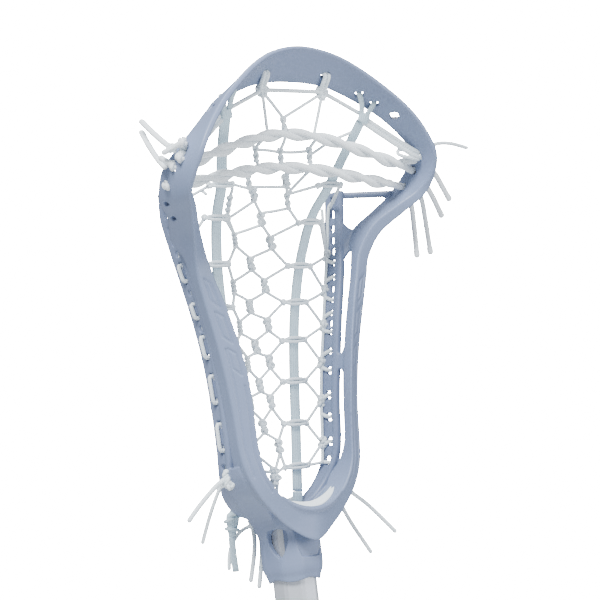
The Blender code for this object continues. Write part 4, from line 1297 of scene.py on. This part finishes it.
def shooting_laces():
    """Two pairs of laces wound round each other, each end led to its own hole in the wall."""
    for name, half, seats, turns in (
        ("upper_shooting_string", UPPER_SHOOTING, ((89, -44.5, 227.4), (87, -49.6, 232.5)), 4.25),
        ("lower_shooting_string", LOWER_SHOOTING, ((88, -36.4, 219), (83.5, -31.5, 222.5)), 4.25),
    ):
        route = list(half) + [tuple(mirror(p)) for p in half[-2::-1]]
        centre = even(route, 1.5)
        count = len(centre)
        tangent = unit(np.gradient(centre, axis=0))
        side = unit(np.cross(tangent, (0, 1.0, 0)))
        other = np.cross(tangent, side)
        t = np.linspace(0, 1, count)
        swing = 1.75 * np.minimum(1, np.minimum(t, 1 - t) / 0.06 + 0.55)
        for strand, letter in enumerate("ab"):
            angle = math.pi * strand + 2 * np.pi * turns * t + 0.35 * np.sin(9 * t)
            places = centre + (side * np.cos(angle)[:, None]
                               + other * np.sin(angle)[:, None]) * swing[:, None]
            ends = []
            for end, sign in ((0, 1), (-1, -1)):
                pick = strand if end == 0 else 1 - strand
                ends.append(np.array(seats[pick]) * (sign, 1, 1))
            inner = places[5:-5]
            whole = np.concatenate([even([ends[0], (ends[0] + inner[0]) / 2 + (0, 0.4, 0.5),
                                          inner[0]], 1.5)[:-1],
                                    inner,
                                    even([inner[-1], (ends[1] + inner[-1]) / 2 + (0, 0.4, 0.5),
                                          ends[1]], 1.5)[1:]])
            piece = Piece()
            piece.strand(even(whole[::2], 1.5, 4), 2.2, 14, 0.8)
            piece.make("%s_%s_fine" % (name, letter), LACE, "shooting_lace", ("%s_%s" % (name, letter),))


def outside_knots():
    """Lace ends knotted against the outside of the scoop."""
    piece = Piece()
    for y, z in ((-57.2, 239.5), (-47, 228.4), (-38.1, 219.4), (-53.8, 231.7)):
        for sign in (1, -1):
            out = 92.9 if z > 222 else 91.4
            lump(piece, (sign * out, y * 0.97, z), 1.3, 1.3, RANDOM.uniform(0, 6.28))
    joins = (((-94, -55.5, 239), (-99, -47, 235.5)), ((-94, -46, 229), (-96.5, -41, 233.5)),
             ((93.5, -46.5, 228.4), (97, -46.5, 228.2)), ((93.5, -43, 226.6), (96.2, -42, 225.8)),
             ((91.5, -37.5, 219.3), (95.6, -36.8, 219.5)), ((91, -34.5, 216.8), (94.6, -33, 216.3)))
    for a, b in joins:
        piece.strand(even([a, (np.array(a) + b) / 2, b], 1.2), 1.7, 12)
    piece.make("outside_knots", LACE, "shooting_lace")


# ---------------------------------------------------------------- pad, tube, cap and screw

def pad():
    """The foam crescent on the throat's shelf, with its dished face."""
    ring = smooth(ring_corners(), 12, cyclic=True)
    middle = (len(SCOOP) + len(SIDES) - 1) * 12
    reach = 28
    sections = []
    for offset in range(-reach, reach + 1):
        outer, ridge, inner, back = ring[middle + offset]
        tangent = unit(ring[middle + offset + 1][1] - ring[middle + offset - 1][1])
        across = inner - ridge
        up = unit(np.cross(tangent, across))
        up = up if up[2] > 0 else -up
        taper = math.sqrt(1 - abs(offset) / (reach + 2.4))
        near = ridge + across * (0.62 - 0.44 * taper)
        far = ridge + across * (0.62 + 0.30 * taper)
        thick = 2.4 * (0.35 + 0.65 * taper)
        base = -1.2
        row = []
        for share, height in ((0, 0), (1, 0), (1.0, 0.7), (0.96, 0.93),
                                  (0.85, 0.98), (0.5, 0.86), (0.15, 0.98), (0.04, 0.93), (0, 0.7)):
            row.append(near + (far - near) * share + up * (base + thick * height))
        sections.append(row)
    piece = Piece()
    piece.skin(sections)
    made = piece.make("ball_stop_pad", FOAM, "ball_stop_foam", ("ball_stop",))


def tube():
    """The faceted tube: the CAD solid in its satin metal."""
    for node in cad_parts:
        thing = bpy.data.objects.get(node) if isinstance(node, str) else node
        if thing and thing.name == "shaft":
            thing.data.materials.clear()
            thing.data.materials.append(METAL)


def ring_of(flats, cut, z):
    half = flats / 2
    side = half * math.tan(math.pi / 8)
    corners = []
    for face in range(8):
        angle = (face + 0.5) * math.pi / 4
        corners.append(np.array((math.cos(angle), math.sin(angle), 0)) * half / math.cos(math.pi / 8))
    points = []
    for k in range(8):
        here, before, after = corners[k], corners[k - 1], corners[(k + 1) % 8]
        start, end = here + unit(before - here) * cut, here + unit(after - here) * cut
        points += [start, 0.25 * start + 0.5 * here + 0.25 * end, end]
    return np.array(points) + (0, 0, z)


def cap():
    """The rubber end cap: rounded rim, grip rings and a shallow dish in its butt."""
    piece = Piece()
    outer = 28.7
    rows = [(8, 1.0, 0.6), (outer - 5, 2, 0.0), (outer - 2.4, 2, 0.05),
            (outer - 0.8, 2, 0.7), (outer, 2, 1.9)]
    for z in (9, 13.5, 18, 22.5):
        rows += [(outer, 2, z), (outer - 0.7, 2, z + 0.5), (outer - 0.7, 2, z + 1.5), (outer, 2, z + 2)]
    rows += [(outer, 2, 31.5), (outer - 0.4, 2, 33.2), (outer - 1.4, 2, 33.95),
             (25.7, 2, 33.95), (25.1, 2, 33.5), (25.1, 2, 4.2),
             (21.3, 2, 4.2), (21.3, 2, 14.6), (20, 2, 15.9), (4, 1, 16)]
    sections = [ring_of(flats, cut, z - BASE / MM) for flats, cut, z in rows]
    piece.skin(sections)
    piece.make("end_cap_rubber", RUBBER, "cap_rubber", ("end_cap",), body="end_cap")


def screw():
    """The pan-head screw with its cross recess and thread."""
    profile = [(0.0, 0.9), (0.5, 0.95), (0.8, 2.05), (1.6, 2.2), (2.5, 2.0),
               (3.1, 1.5), (3.4, 0.8), (3.4, 0.1), (3.2, 0.0), (1.75, 0.0)]
    depth = 0.0
    while depth < 5.6:
        profile += [(1.55, -depth - 0.15), (1.9, -depth - 0.4), (1.55, -depth - 0.65)]
        depth += 0.7
    profile += [(1.2, -6.7), (0.5, -7.3), (0.0, -7.5)]
    lo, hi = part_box("head_screw")
    start = (hi.y / MM) - 2.2
    sections = []
    for radius, out in profile:
        ring = []
        for k in range(32):
            a = 2 * math.pi * k / 32
            r = max(radius, 0.02)
            if 0.3 < radius < 1.7 and out > 0:
                r = radius * (1.25 if k % 8 in (0, 1, 7) else 0.75)
            ring.append((r * math.cos(a), start + out, 12 + r * math.sin(a)))
        sections.append(ring)
    piece = Piece()
    piece.skin(sections)
    piece.make("head_screw_fine", STEEL, "screw_steel", ("head_screw",), body="head_screw")


camera()
loose_ends()
head()
pocket()
top_string()
bottom_string()
side_strings()
runners()
shooting_laces()
outside_knots()
pad()
tube()
cap()
screw()
floor()
lights()
